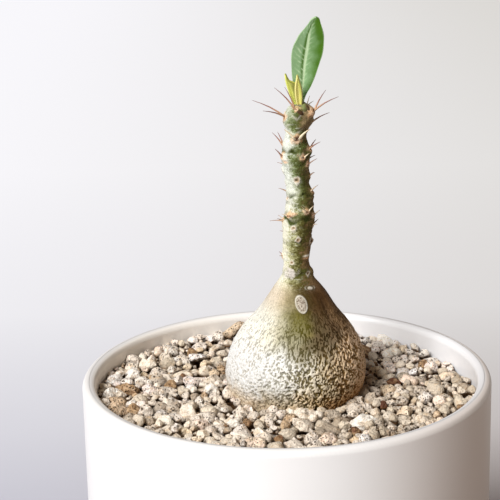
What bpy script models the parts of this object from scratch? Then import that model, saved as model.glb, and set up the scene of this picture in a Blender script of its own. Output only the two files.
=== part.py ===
"""A small caudex plant in a white ceramic pot, as separate solids.

Metres, +Z up. The origin is the middle of the pot's base, and -Y is the side seen from the front.
Heights of the plant are given from the plane through the middle of the pot's rounded lip.
"""

import math
import random

import bmesh
import bpy
from mathutils import Matrix, Vector

MM = 0.001
GAP = 0.3 * MM
SAME_POINT = 0.001 * MM

# Pot: a plain cylinder with a rounded lip, a raised foot ring and a drain hole.
POT_RADIUS = 50.0 * MM
POT_HEIGHT = 88.0 * MM
WALL = 3.4 * MM
BASE_CORNER = 6.0 * MM
FOOT_INNER_RADIUS = 33.0 * MM
FOOT_RECESS = 1.5 * MM
FLOOR_HEIGHT = 6.0 * MM
FLOOR_CORNER = 8.0 * MM
DRAIN_RADIUS = 6.0 * MM
POT_SIDES = 56

LIP_STEPS = 8
CORNER_STEPS = 3
POT_SHARP = 40
PLANT_SHARP = 50

LIP_RADIUS = WALL / 2
LIP_PLANE = POT_HEIGHT - LIP_RADIUS
BORE_RADIUS = POT_RADIUS - WALL

# Fill: heights from the lip plane.
MIX_TOP = -13.0 * MM
MIX_HOLE_TOP = -8.0
GRAVEL_HOLE_TOP = 3.0
HOLE_SLACK = 1.4 * GAP
STONE_SLACK = 1.5 * GAP
GRAVEL_BED = -5.2 * MM
GRAVEL_TOP_AT_PLANT = -3.2 * MM
GRAVEL_TOP_AT_WALL = -2.0 * MM
GRAVEL_FALL = 0.014
HEAP_PLACE = (2.0 * MM, -18.0 * MM)
HEAP_HEIGHT = 0.9 * MM
HEAP_SPREAD = 7.0 * MM
STONE_SPACING = 5.4 * MM
STONE_SIZE = (2.35 * MM, 3.15 * MM)
STONE_SCATTER = 0.7 * MM
STONE_TILT = 0.3
# A stone's shape, as shares of its size.
STONE_FOOT = 1.2
STONE_CREST = 0.78
STONE_DEPTH = 2.2
STONE_RAGGEDNESS = 0.17
# A stone that the wall or the plant would push further than this share of its size is left out.
MOST_SHIFT = 0.8
STONE_SEED = 13

# Plant: the middle of its base in plan, and outlines as (height from the lip plane, radius).
PLANT_MIDDLE_Y = 2.5 * MM
ROOT_TIP = -46.0
ROOT_NECK = -6.0
CAUDEX_TOP = 26.0
CAUDEX_OUTLINE = (
    (-46.0, 0.8),
    (-34.0, 2.0),
    (-25.0, 4.0),
    (-17.0, 8.2),
    (-10.0, 12.9),
    (-4.2, 15.9),
    (1.8, 17.2),
    (7.8, 15.8),
    (13.8, 12.3),
    (19.7, 7.8),
    (23.0, 5.4),
    (26.0, 3.3),
)
STEM_FOOT = 21.0
STEM_TOP = 67.9
STEM_STEP = 1.13
CROWN_RINGS = (66.2, 66.9)
STEM_OUTLINE = (
    (21.0, 2.6),
    (28.0, 3.0),
    (33.0, 3.2),
    (40.0, 3.3),
    (48.0, 2.6),
    (54.0, 3.1),
    (60.2, 2.5),
    (64.5, 3.0),
    (66.3, 2.75),
    (67.9, 1.5),
)
# How far the middle line of the plant lies to the right of the pot's, as (height, distance).
LEAN = (
    (-46.0, 1.2),
    (-4.2, 2.2),
    (10.0, 2.8),
    (19.0, 3.3),
    (28.0, 3.0),
    (36.0, 3.2),
    (44.0, 3.9),
    (53.0, 3.1),
    (60.0, 3.2),
    (65.0, 4.1),
    (67.9, 4.3),
)
CAUDEX_SIDES = 52
HOLE_SIDES = 32
STEM_SIDES = 20
RING_STEP = 1.3
ROOT_STEP = 5.0
WART_HEIGHT = 0.42
LEAST_WART_HEIGHT = 0.15
WART_TOP = 19.0
WART_FOOT = -4.0
WART_FADE = 5.0
WART_SEED = 5

# Tubercles of the stem that carry spines, as (height, compass angle, spine tips from the tubercle).
# Angles are counted from +X towards +Y, so -90 faces the viewer.
CROWN_TUBERCLES = (
    (66.2, -22.0, ((2.7, 3.4, 4.4), (5.8, -2.0, 3.6))),
    (65.0, -167.0, ((-7.0, 1.0, 4.0), (-4.4, -4.2, 2.6))),
    (65.6, 128.0, ((-3.6, 2.6, 6.2), (-1.2, 4.0, 5.6))),
    (66.0, 52.0, ((1.0, 4.6, 1.8), (2.2, 4.0, 1.3))),
    (63.4, 16.0, ((4.4, 1.2, 2.2), (1.4, 5.2, 2.0))),
    (60.2, -87.0, ((-1.9, -2.8, 2.9), (2.1, -2.8, 2.6))),
    (60.8, 125.0, ((0.4, 3.4, 2.0), (-1.4, 3.2, 2.0))),
    (58.4, 60.0, ((-1.0, 3.4, 2.2), (1.4, 3.2, 2.2))),
    (56.6, -157.0, ((-2.3, -0.8, 4.4), (-1.0, -1.3, 1.0))),
    (57.0, -38.0, ((2.9, -1.0, 2.1), (0.6, -2.0, 1.4))),
)
SHORT_TUBERCLES = (
    (55.6, -68.0),
    (54.2, 30.0),
    (53.6, -34.0),
    (52.4, 122.0),
    (51.8, -170.0),
    (50.4, -5.0),
    (49.4, 75.0),
    (46.9, -15.0),
    (46.4, 150.0),
    (45.3, -155.0),
    (44.2, 60.0),
    (42.4, -64.0),
    (41.9, 105.0),
    (41.2, -134.0),
    (40.9, -24.0),
    (39.4, 172.0),
    (38.4, -8.0),
    (37.6, 62.0),
    (38.4, -107.0),
    (35.8, 130.0),
    (35.2, -86.0),
    (34.6, -20.0),
    (33.4, 84.0),
    (31.6, -48.0),
    (30.6, 178.0),
    (29.4, -118.0),
    (28.6, 40.0),
)
CROWN_BUMP = 0.75
SHORT_BUMP = 0.55
BUMP_SPREAD = 1.05
# A worn pair: length as a share of its height on the plant, the turn of each from the tubercle's
# direction in degrees, and how far each rises for its length.
SHORT_SPINE = 0.03
SHORT_SPINE_TURNS = (-38.0, 44.0)
SHORT_SPINE_RISE = 0.45
SPINE_RADIUS = 0.36
SPINE_TIP_RADIUS = 0.13
SPINE_ROOT = 1.3
SPINE_PAIR_OFFSET = 0.5

# Leaves: each has the place of its foot, how far its tip leans from it, and its fold in radians. The
# widest value sets where along a leaf it is broadest: 1 in the middle, more towards the tip.
LEAF_THICKNESS = 0.7 * MM
LEAF_FOOT = STEM_TOP * MM + GAP
MATURE_STATIONS = 14
YOUNG_STATIONS = 7
BLADE_BLUNTNESS = 0.65
BLADE_END_HALF_WIDTH = 0.32 * MM
MATURE_LENGTH = 20.1 * MM
MATURE_HALF_WIDTH = 3.75 * MM
MATURE_FOOT = (4.5 * MM, 3.4 * MM)
MATURE_LEAN = (3.5 * MM, 0.2 * MM)
MATURE_ARCH = 0.9 * MM
MATURE_FOLD = 0.28
MATURE_WIDEST = 1.15
YOUNG_LEFT_FOOT = (3.5 * MM, 2.2 * MM)
YOUNG_LEFT_LEAN = (-2.5 * MM, -0.4 * MM)
YOUNG_LEFT_LENGTH = 7.0 * MM
YOUNG_RIGHT_FOOT = (4.5 * MM, 1.6 * MM)
YOUNG_RIGHT_LEAN = (-0.8 * MM, -0.9 * MM)
YOUNG_RIGHT_LENGTH = 5.6 * MM
YOUNG_HALF_WIDTH = 0.95 * MM
YOUNG_FOLD = 0.75
YOUNG_WIDEST = 0.8


def clear_scene():
    for item in list(bpy.data.objects):
        bpy.data.objects.remove(item, do_unlink=True)


def finish(name, colour, roughness):
    """A plain material for one piece."""
    made = bpy.data.materials.new(name)
    made.use_nodes = True
    shader = made.node_tree.nodes["Principled BSDF"]
    shader.inputs["Base Color"].default_value = (*colour, 1.0)
    shader.inputs["Roughness"].default_value = roughness
    shader.inputs["Metallic"].default_value = 0.0
    return made


def add_object(name, bm, material=None):
    """Puts a closed bmesh into the scene with its faces pointing out."""
    bmesh.ops.recalc_face_normals(bm, faces=bm.faces)
    mesh = bpy.data.meshes.new(name)
    bm.to_mesh(mesh)
    bm.free()
    if material:
        mesh.materials.append(material)
    item = bpy.data.objects.new(name, mesh)
    bpy.context.scene.collection.objects.link(item)
    return item


def shade_round(item, sharp_degrees):
    item.data.shade_smooth()
    item.data.set_sharp_from_angle(angle=math.radians(sharp_degrees))


def smooth_value(points, at):
    """The value at one place of a smooth curve through (place, value) points."""
    places = [place for place, _ in points]
    values = [value for _, value in points]
    last = len(points) - 1
    if at <= places[0]:
        return values[0]
    if at >= places[last]:
        return values[last]
    slopes = []
    for i in range(last + 1):
        before, after = max(i - 1, 0), min(i + 1, last)
        slopes.append((values[after] - values[before]) / (places[after] - places[before]))
    i = max(k for k in range(last) if places[k] <= at)
    span = places[i + 1] - places[i]
    t = (at - places[i]) / span
    start = (2 * t**3 - 3 * t**2 + 1) * values[i] + (t**3 - 2 * t**2 + t) * span * slopes[i]
    end = (3 * t**2 - 2 * t**3) * values[i + 1] + (t**3 - t**2) * span * slopes[i + 1]
    return start + end


def arc(middle, radius, start, end, steps):
    """Points of an arc in the (radius, height) plane, from one angle in degrees to another."""
    found = []
    for i in range(steps + 1):
        angle = math.radians(start + (end - start) * i / steps)
        found.append((middle[0] + radius * math.cos(angle), middle[1] + radius * math.sin(angle)))
    return found


def turned(name, outline, sides, material=None, loop=False):
    """A solid made by turning an outline of (radius, height) points round the pot's axis."""
    bm = bmesh.new()
    verts = [bm.verts.new((radius, 0.0, height)) for radius, height in outline]
    edges = [bm.edges.new(pair) for pair in zip(verts, verts[1:])]
    if loop:
        edges.append(bm.edges.new((verts[-1], verts[0])))
    bmesh.ops.spin(
        bm,
        geom=verts + edges,
        cent=(0.0, 0.0, 0.0),
        axis=(0.0, 0.0, 1.0),
        angle=2 * math.pi,
        steps=sides,
        use_merge=False,
    )
    bmesh.ops.remove_doubles(bm, verts=bm.verts, dist=SAME_POINT)
    return add_object(name, bm, material)


def combine(item, others, operation):
    """Joins or cuts with one Boolean, applies it, and removes the objects it used."""
    group = bpy.data.collections.new(item.name + "_" + operation.lower())
    bpy.context.scene.collection.children.link(group)
    for other in others:
        group.objects.link(other)
        bpy.context.scene.collection.objects.unlink(other)
    boolean = item.modifiers.new(operation.title(), "BOOLEAN")
    boolean.operation = operation
    boolean.operand_type = "COLLECTION"
    boolean.collection = group
    boolean.solver = "EXACT"
    bpy.context.view_layer.update()
    graph = bpy.context.evaluated_depsgraph_get()
    result = bpy.data.meshes.new_from_object(item.evaluated_get(graph))
    item.modifiers.clear()
    item.data = result
    result.name = item.name
    for other in others:
        bpy.data.objects.remove(other, do_unlink=True)
    bpy.data.collections.remove(group)


def pot():
    foot_edge = POT_RADIUS - BASE_CORNER
    lip_middle = (POT_RADIUS - LIP_RADIUS, LIP_PLANE)
    floor_corner = (BORE_RADIUS - FLOOR_CORNER, FLOOR_HEIGHT + FLOOR_CORNER)
    outline = [
        *arc(lip_middle, LIP_RADIUS, 180, 0, LIP_STEPS),
        *arc((foot_edge, BASE_CORNER), BASE_CORNER, 0, -90, CORNER_STEPS),
        (FOOT_INNER_RADIUS, 0.0),
        (FOOT_INNER_RADIUS - FOOT_RECESS, FOOT_RECESS),
        (DRAIN_RADIUS, FOOT_RECESS),
        (DRAIN_RADIUS, FLOOR_HEIGHT),
        *arc(floor_corner, FLOOR_CORNER, -90, 0, CORNER_STEPS),
    ]
    glaze = finish("white_glaze", (0.86, 0.85, 0.83), 0.22)
    made = turned("pot", outline, POT_SIDES, glaze, loop=True)
    shade_round(made, POT_SHARP)
    return made


def plant_middle(height):
    """Where the plant's middle line is at a height given in millimetres from the lip plane."""
    return Vector((smooth_value(LEAN, height) * MM, PLANT_MIDDLE_Y, LIP_PLANE + height * MM))


def ring_heights(start, end, step):
    count = max(1, round((end - start) / step))
    return [start + (end - start) * i / count for i in range(count + 1)]


def skin(name, heights, sides, radius_at, material=None):
    """A closed solid of rings round the plant's middle line. Its triangles meet at every other point,
    so that a raised point stands up as a wart and the points between lie in a net of grooves."""
    bm = bmesh.new()
    rings = []
    for row, height in enumerate(heights):
        ring = []
        for side in range(sides):
            angle = 2 * math.pi * side / sides
            reach = radius_at(height, angle, row, side) * MM
            offset = Vector((math.cos(angle) * reach, math.sin(angle) * reach, 0.0))
            ring.append(bm.verts.new(plant_middle(height) + offset))
        rings.append(ring)
    for row, (low, high) in enumerate(zip(rings, rings[1:])):
        for side in range(sides):
            after = (side + 1) % sides
            if (row + side) % 2:
                bm.faces.new((low[side], low[after], high[side]))
                bm.faces.new((low[after], high[after], high[side]))
            else:
                bm.faces.new((low[side], low[after], high[after]))
                bm.faces.new((low[side], high[after], high[side]))
    bm.faces.new(rings[0][::-1])
    bm.faces.new(rings[-1])
    return add_object(name, bm, material)


def wart_share(height):
    """How strongly the warts stand out at a height: full on the belly, none at neck or gravel."""
    rising = (height - WART_FOOT) / WART_FADE
    falling = (WART_TOP - height) / WART_FADE
    return max(0.0, min(1.0, rising, falling))


def caudex(material):
    """The swollen base and its root, with warts raised from the surface."""
    draw = random.Random(WART_SEED)
    buried = ring_heights(ROOT_TIP, ROOT_NECK, ROOT_STEP)
    open_air = ring_heights(ROOT_NECK, CAUDEX_TOP, RING_STEP)
    relief = [
        [draw.uniform(LEAST_WART_HEIGHT, WART_HEIGHT) for _ in range(CAUDEX_SIDES)]
        for _ in buried + open_air
    ]

    def radius_at(height, angle, row, side):
        rise = relief[row][side] * wart_share(height)
        return smooth_value(CAUDEX_OUTLINE, height) + (rise if (row + side) % 2 else -rise)

    return skin("plant", buried + open_air[1:], CAUDEX_SIDES, radius_at, material)


def all_tubercles():
    """Every tubercle as (height, angle in radians, how far it stands out)."""
    found = [(height, math.radians(angle), CROWN_BUMP) for height, angle, _ in CROWN_TUBERCLES]
    found += [(height, math.radians(angle), SHORT_BUMP) for height, angle in SHORT_TUBERCLES]
    return found


def stem_radius(height, angle):
    radius = smooth_value(STEM_OUTLINE, height)
    raised = 0.0
    for bump_height, bump_angle, bump in all_tubercles():
        turn = math.remainder(angle - bump_angle, 2 * math.pi)
        away = (turn * radius) ** 2 + (height - bump_height) ** 2
        raised = max(raised, bump * math.exp(-away / (2 * BUMP_SPREAD**2)))
    return radius + raised


def stem():
    heights = ring_heights(STEM_FOOT, CROWN_RINGS[0], STEM_STEP) + [*CROWN_RINGS[1:], STEM_TOP]
    return skin("stem", heights, STEM_SIDES, lambda height, angle, row, side: stem_radius(height, angle))


def needle(name, foot, tip, foot_radius, tip_radius):
    """A three-sided spine from a sunk foot to its tip."""
    length = (tip - foot).length
    bm = bmesh.new()
    bmesh.ops.create_cone(
        bm,
        cap_ends=True,
        segments=3,
        radius1=foot_radius,
        radius2=tip_radius,
        depth=length,
    )
    turn = (tip - foot).to_track_quat("Z", "Y").to_matrix().to_4x4()
    bmesh.ops.transform(bm, matrix=turn, verts=bm.verts)
    bmesh.ops.translate(bm, vec=(foot + tip) / 2, verts=bm.verts)
    return add_object(name, bm)


def spine(name, height, angle, tip_offset):
    """A spine whose root is sunk in its own side of its tubercle."""
    reach = stem_radius(height, angle) * MM
    outward = Vector((math.cos(angle), math.sin(angle), 0.0))
    sideways = Vector((-outward.y, outward.x, 0.0))
    along = Vector(tip_offset) * MM
    side = math.copysign(SPINE_PAIR_OFFSET * MM, along.dot(sideways))
    foot = plant_middle(height) + outward * reach + sideways * side
    root = foot - along.normalized() * SPINE_ROOT * MM
    return needle(name, root, foot + along, SPINE_RADIUS * MM, SPINE_TIP_RADIUS * MM)


def spines():
    """The pairs of spines: long ones near the crown, worn stubs lower down."""
    made = []
    for height, angle, tips in CROWN_TUBERCLES:
        made += [spine("crown_spine", height, math.radians(angle), tip) for tip in tips]
    for height, angle in SHORT_TUBERCLES:
        length = SHORT_SPINE * height
        for turn in SHORT_SPINE_TURNS:
            lean = math.radians(angle + turn)
            tip = (length * math.cos(lean), length * math.sin(lean), SHORT_SPINE_RISE * length)
            made.append(spine("short_spine", height, math.radians(angle), tip))
    return made


def plant():
    made = caudex(finish("caudex_and_stem_skin", (0.42, 0.40, 0.28), 0.7))
    combine(made, [stem(), *spines()], "UNION")
    shade_round(made, PLANT_SHARP)
    return made


def buried_shape(name, top):
    """The hole that the plant stands in: its outline below the surface, wider by the slack."""
    return skin(
        name,
        ring_heights(ROOT_TIP - GAP / MM, top, ROOT_STEP),
        HOLE_SIDES,
        lambda height, angle, row, side: smooth_value(CAUDEX_OUTLINE, height) + HOLE_SLACK / MM,
    )


def potting_mix():
    radius = BORE_RADIUS - GAP
    floor = FLOOR_HEIGHT + GAP
    outline = [
        (0.0, floor),
        *arc((radius - FLOOR_CORNER, floor + FLOOR_CORNER), FLOOR_CORNER, -90, 0, CORNER_STEPS),
        (radius, LIP_PLANE + MIX_TOP),
        (0.0, LIP_PLANE + MIX_TOP),
    ]
    made = turned("potting_mix", outline, POT_SIDES, finish("dark_grit", (0.13, 0.10, 0.08), 0.95))
    combine(made, [buried_shape("root_hole", MIX_HOLE_TOP)], "DIFFERENCE")
    return made


def keep_in_ring(point, slack):
    """Moves a point that would reach into the pot's wall or into the plant back to their clear edge."""
    axis = plant_middle(GRAVEL_BED / MM)
    from_plant = Vector((point.x - axis.x, point.y - axis.y))
    least = smooth_value(CAUDEX_OUTLINE, 0.0) * MM + slack
    if from_plant.length < least:
        from_plant *= least / from_plant.length
    moved = Vector((axis.x + from_plant.x, axis.y + from_plant.y))
    most = BORE_RADIUS - slack
    if moved.length > most:
        moved *= most / moved.length
    return Vector((moved.x, moved.y, point.z))


def gravel_top(x, y):
    """The level of the stones' tops: a dish that falls to the right, with a low heap in front."""
    axis = plant_middle(GRAVEL_BED / MM)
    out = min(1.0, math.hypot(x - axis.x, y - axis.y) / BORE_RADIUS)
    dish = GRAVEL_TOP_AT_PLANT + (GRAVEL_TOP_AT_WALL - GRAVEL_TOP_AT_PLANT) * out**2
    from_heap = math.hypot(x - HEAP_PLACE[0], y - HEAP_PLACE[1]) / HEAP_SPREAD
    return LIP_PLANE + dish - GRAVEL_FALL * x + HEAP_HEIGHT * math.exp(-from_heap**2)


def stone(name, top, size, draw):
    """An angular pumice stone: a few-sided drum with its corners pushed about at random."""
    middle = top - Vector((0.0, 0.0, 0.5 * STONE_DEPTH * size))
    bm = bmesh.new()
    bmesh.ops.create_cone(
        bm,
        cap_ends=True,
        segments=draw.choice((4, 5)),
        radius1=STONE_FOOT * size,
        radius2=STONE_CREST * size,
        depth=STONE_DEPTH * size,
    )
    turn = Matrix.Rotation(draw.uniform(0.0, 2 * math.pi), 4, "Z")
    for axis in "XY":
        turn = Matrix.Rotation(draw.uniform(-STONE_TILT, STONE_TILT), 4, axis) @ turn
    for vert in bm.verts:
        push = Vector([draw.uniform(-1, 1) * STONE_RAGGEDNESS * size for _ in range(3)])
        vert.co = keep_in_ring(middle + turn @ (vert.co + push), STONE_SLACK)
    return add_object(name, bm)


def stone_places(draw):
    """Stones on a loose honeycomb that fills the ring between the plant and the pot's wall."""
    found = []
    rows = int(BORE_RADIUS / (STONE_SPACING * math.sqrt(0.75))) + 1
    columns = int(BORE_RADIUS / STONE_SPACING) + 1
    for row in range(-rows, rows + 1):
        for column in range(-columns, columns + 1):
            size = draw.uniform(*STONE_SIZE)
            x = (column + 0.5 * (row % 2)) * STONE_SPACING + draw.uniform(-1, 1) * STONE_SCATTER
            y = row * STONE_SPACING * math.sqrt(0.75) + draw.uniform(-1, 1) * STONE_SCATTER
            z = gravel_top(x, y) + draw.uniform(-1, 1) * STONE_SCATTER
            wanted = Vector((x, y, z))
            top = keep_in_ring(wanted, size + GAP)
            if (top - wanted).length < MOST_SHIFT * size:
                found.append((top, size))
    return found


def gravel():
    """A bed that the plant's hole goes through, with stones fused on it."""
    draw = random.Random(STONE_SEED)
    radius = BORE_RADIUS - GAP
    low = LIP_PLANE + MIX_TOP + GAP
    high = LIP_PLANE + GRAVEL_BED
    outline = [(0.0, low), (radius, low), (radius, high), (0.0, high)]
    made = turned("pumice_gravel", outline, POT_SIDES, finish("pumice", (0.52, 0.47, 0.40), 0.95))
    combine(made, [buried_shape("plant_hole", GRAVEL_HOLE_TOP)], "DIFFERENCE")
    combine(made, [stone("stone", top, size, draw) for top, size in stone_places(draw)], "UNION")
    return made


def blade(name, stations, length, half_width, foot, lean, arch, fold, widest, material):
    """A leaf blade: a folded strip along a leaning, arched rib, given its thickness by Solidify."""
    across = (-1.0, -0.5, 0.0, 0.5, 1.0)
    bm = bmesh.new()
    rows = []
    for station in range(stations + 1):
        t = station / stations
        swell = math.sin(math.pi * t ** widest) ** BLADE_BLUNTNESS if 0.0 < t < 1.0 else 0.0
        width = max(half_width * swell, BLADE_END_HALF_WIDTH)
        rib = Vector((
            foot[0] + lean[0] * t,
            foot[1] + lean[1] * t + arch * math.sin(math.pi * t),
            LIP_PLANE + LEAF_FOOT + length * t,
        ))
        row = []
        for share in across:
            sideways = share * width * math.cos(fold)
            forward = abs(share) * width * math.sin(fold)
            row.append(bm.verts.new(rib + Vector((sideways, -forward, 0.0))))
        rows.append(row)
    for low, high in zip(rows, rows[1:]):
        for i in range(len(across) - 1):
            bm.faces.new((low[i], low[i + 1], high[i + 1], high[i]))
    made = add_object(name, bm, material)
    thicken = made.modifiers.new("Solidify", "SOLIDIFY")
    thicken.thickness = LEAF_THICKNESS
    thicken.offset = 0.0
    shade_round(made, PLANT_SHARP)
    return made


def leaves():
    green = finish("leaf_green", (0.14, 0.33, 0.09), 0.5)
    yellow = finish("young_leaf_green", (0.52, 0.60, 0.13), 0.5)
    blade(
        "mature_leaf", MATURE_STATIONS, MATURE_LENGTH, MATURE_HALF_WIDTH, MATURE_FOOT, MATURE_LEAN,
        MATURE_ARCH, MATURE_FOLD, MATURE_WIDEST, green,
    )
    blade(
        "young_leaf_left", YOUNG_STATIONS, YOUNG_LEFT_LENGTH, YOUNG_HALF_WIDTH, YOUNG_LEFT_FOOT,
        YOUNG_LEFT_LEAN, 0.0, YOUNG_FOLD, YOUNG_WIDEST, yellow,
    )
    blade(
        "young_leaf_right", YOUNG_STATIONS, YOUNG_RIGHT_LENGTH, YOUNG_HALF_WIDTH, YOUNG_RIGHT_FOOT,
        YOUNG_RIGHT_LEAN, 0.0, YOUNG_FOLD, YOUNG_WIDEST, yellow,
    )


clear_scene()
pot()
potting_mix()
gravel()
plant()
leaves()
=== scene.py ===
# %% [markdown]
# # A young pachypodium in a white pot
# The plant is a small succulent with a swollen base, a thin spiny stem and a few leaves at its tip. It
# stands in a plain white ceramic pot that is topped with pumice grit. The solids made in CAD give every
# size and place. This notebook dresses them: each cell makes one piece or one finish.

import math
import random

import bmesh
import bpy
import numpy as np
from mathutils import Matrix, Vector, noise


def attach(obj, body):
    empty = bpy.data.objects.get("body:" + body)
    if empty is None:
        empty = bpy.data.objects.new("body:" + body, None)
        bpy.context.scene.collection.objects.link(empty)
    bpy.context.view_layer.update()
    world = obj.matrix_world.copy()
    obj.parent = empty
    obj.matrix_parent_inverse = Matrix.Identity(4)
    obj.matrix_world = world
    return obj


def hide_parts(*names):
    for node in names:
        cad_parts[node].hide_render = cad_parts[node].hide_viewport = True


MM = 0.001
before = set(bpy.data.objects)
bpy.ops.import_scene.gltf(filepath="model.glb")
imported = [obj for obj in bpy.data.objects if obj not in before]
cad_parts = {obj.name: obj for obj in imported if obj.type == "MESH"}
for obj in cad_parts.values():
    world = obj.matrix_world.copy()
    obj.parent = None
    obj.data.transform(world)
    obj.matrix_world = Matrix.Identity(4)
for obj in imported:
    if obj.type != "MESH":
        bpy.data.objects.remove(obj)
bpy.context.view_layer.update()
print("CAD nodes:", ", ".join(sorted(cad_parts)))

# %% [markdown]
# ## The camera
# The pot's lip is a circle, so its picture is an ellipse, and the ellipse tells where the camera stood:
# a little over 20 cm up, some 37 cm in front, looking down by 16 degrees through a long lens.

# %% Camera
PICTURE_SIDE = 500
FOCAL_PIXELS = 1600
SENSOR = 36.0
CAMERA_PLACE = (-0.00823, -0.37018, 0.225025)
CAMERA_TURN = (74.0462, 1.2307, -0.3518)

bpy.ops.object.camera_add(location=CAMERA_PLACE, rotation=[math.radians(turn) for turn in CAMERA_TURN])
camera = bpy.context.object
camera.name = "camera"
camera.data.sensor_width = SENSOR
camera.data.lens = FOCAL_PIXELS / PICTURE_SIDE * SENSOR
camera.data.clip_start = 0.01
bpy.context.scene.camera = camera
print("lens in mm:", round(camera.data.lens, 1))

# %% [markdown]
# ## Working by hand, in code
# An operator acts on what is selected, so each step first deselects everything. The small helpers below
# pick an object, pick faces or edges by a rule, and end a piece: it then rides on the part's only body.

# %% Helpers for selecting and finishing
def take_up(item):
    """Selects one object and nothing else."""
    bpy.ops.object.select_all(action="DESELECT")
    item.select_set(True)
    bpy.context.view_layer.objects.active = item


def pick_faces(item, rule):
    """In edit mode, selects the faces whose middle and normal pass the rule."""
    bpy.ops.mesh.select_all(action="DESELECT")
    bpy.ops.mesh.select_mode(type="FACE")
    mesh = bmesh.from_edit_mesh(item.data)
    for face in mesh.faces:
        face.select_set(rule(face.calc_center_median(), face.normal))
    bmesh.update_edit_mesh(item.data)


def pick_edges(item, rule):
    """In edit mode, selects the edges whose two ends pass the rule."""
    bpy.ops.mesh.select_all(action="DESELECT")
    bpy.ops.mesh.select_mode(type="EDGE")
    mesh = bmesh.from_edit_mesh(item.data)
    for edge in mesh.edges:
        edge.select_set(all(rule(vert.co) for vert in edge.verts))
    bmesh.update_edit_mesh(item.data)


def finish_piece(item, finish, slot, *replaced):
    """Gives a piece its finish and its body, and hides the CAD nodes that it stands for."""
    item.data.materials.clear()
    item.data.materials.append(finish.material)
    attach(item, "root")
    if replaced:
        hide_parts(*replaced)
    print(item.name, "faces:", len(item.data.polygons))


# %% [markdown]
# ## Materials from nodes
# All finishes are mixed from noise and from values stored on the mesh, so nothing is painted by hand. A
# finish is a tree of small nodes, and most of them only add or multiply. So a value of the tree is wrapped
# here to act like a number: "0.5 * dust + grain" makes the nodes that work it out.

# %% Helpers for materials
class Value:
    """A number that a material works out at each point."""

    def __init__(self, finish, socket):
        self.finish, self.socket = finish, socket

    def __add__(self, other):
        return self.finish.math("ADD", self, other)

    def __mul__(self, other):
        return self.finish.math("MULTIPLY", self, other)

    def __sub__(self, other):
        return self.finish.math("SUBTRACT", self, other)

    def __rsub__(self, other):
        return self.finish.math("SUBTRACT", other, self)

    __radd__ = __add__
    __rmul__ = __mul__

    def step(self, low, high):
        """0 below low, 1 above high and a smooth step in between."""
        inputs = {"Value": self, "From Min": low, "From Max": high}
        stepped = self.finish.node("MapRange", inputs, interpolation_type="SMOOTHSTEP")
        return Value(self.finish, stepped.outputs[0])


class Finish:
    """A material, with plain words for the nodes that it is made of."""

    def __init__(self, name, roughness, gloss=0.5):
        self.material = bpy.data.materials.new(name)
        self.material.use_nodes = True
        self.shader = self.material.node_tree.nodes["Principled BSDF"]
        self.plug(self.shader, {"Roughness": roughness, "Specular IOR Level": gloss})
        self.place = self.scaled(self.node("TexCoord").outputs["Object"], 1 / MM)

    def plug(self, node, inputs):
        """Links sockets and sets plain values on a node's inputs."""
        for key, value in inputs.items():
            value = getattr(value, "socket", value)
            if isinstance(value, bpy.types.NodeSocket):
                self.material.node_tree.links.new(value, node.inputs[key])
            else:
                node.inputs[key].default_value = value

    def node(self, kind, inputs=None, **settings):
        made = self.material.node_tree.nodes.new("ShaderNode" + kind)
        for key, value in settings.items():
            setattr(made, key, value)
        self.plug(made, inputs or {})
        return made

    def math(self, operation, *values):
        return Value(self, self.node("Math", dict(enumerate(values)), operation=operation).outputs[0])

    def parts(self, vector):
        """The three numbers of a place."""
        return [Value(self, part) for part in self.node("SeparateXYZ", {"Vector": vector}).outputs]

    def scaled(self, vector, factor):
        return self.node("VectorMath", {0: vector, "Scale": factor}, operation="SCALE").outputs[0]

    def stretched(self, vector, factors):
        return self.node("VectorMath", {0: vector, 1: factors}, operation="MULTIPLY").outputs[0]

    def noise(self, scale, detail=2.0, roughness=0.5, place=None):
        inputs = {"Scale": scale, "Detail": detail, "Roughness": roughness}
        inputs["Vector"] = self.place if place is None else place
        return Value(self, self.node("TexNoise", inputs).outputs["Fac"])

    def cells(self, scale):
        """Two values of the cell that a point is in: how far its middle is, and a random number."""
        found = self.node("TexVoronoi", {"Vector": self.place, "Scale": scale}).outputs
        luck = self.node("SeparateColor", {"Color": found["Color"]}).outputs["Red"]
        return Value(self, found["Distance"]), Value(self, luck)

    def stored(self, name):
        """A value stored on the mesh's points."""
        return Value(self, self.node("Attribute", attribute_name=name).outputs["Fac"])

    def mix(self, share, first, second, blend="MIX"):
        """The first colour with a share of the second. The node keeps its colours in inputs 6 and 7."""
        inputs = {0: share, 6: first, 7: second}
        for key in (6, 7):
            if isinstance(inputs[key], tuple):
                inputs[key] = (*inputs[key], 1.0)
        return self.node("Mix", inputs, data_type="RGBA", blend_type=blend).outputs[2]

    def ramp(self, value, *stops):
        """A colour for each value. A stop is its place and its red, green and blue."""
        made = self.node("ValToRGB", {"Fac": value})
        elements = made.color_ramp.elements
        while len(elements) < len(stops):
            elements.new(0.5)
        for element, (place, *colour) in zip(elements, stops):
            element.position = place
            element.color = (*colour, 1.0)
        return made.outputs["Color"]

    def cover(self, colour, height=None, depth=0.0, strength=1.0):
        """Gives the shader its colour and, from a height, its fine relief."""
        self.plug(self.shader, {"Base Color": colour})
        if height is not None:
            inputs = {"Height": height, "Distance": depth, "Strength": strength}
            self.plug(self.shader, {"Normal": self.node("Bump", inputs).outputs["Normal"]})


# %% [markdown]
# ## The pot
# The real pot is thrown or cast in clay and covered with a smooth white satin glaze. Its lip is round and
# its wall is 3.4 mm thick. By hand it is a cylinder: the top is inset and pushed down, the foot is inset
# and pushed up, the drain hole is bridged, and bevels round the lip, the foot and the inner corner.

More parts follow.
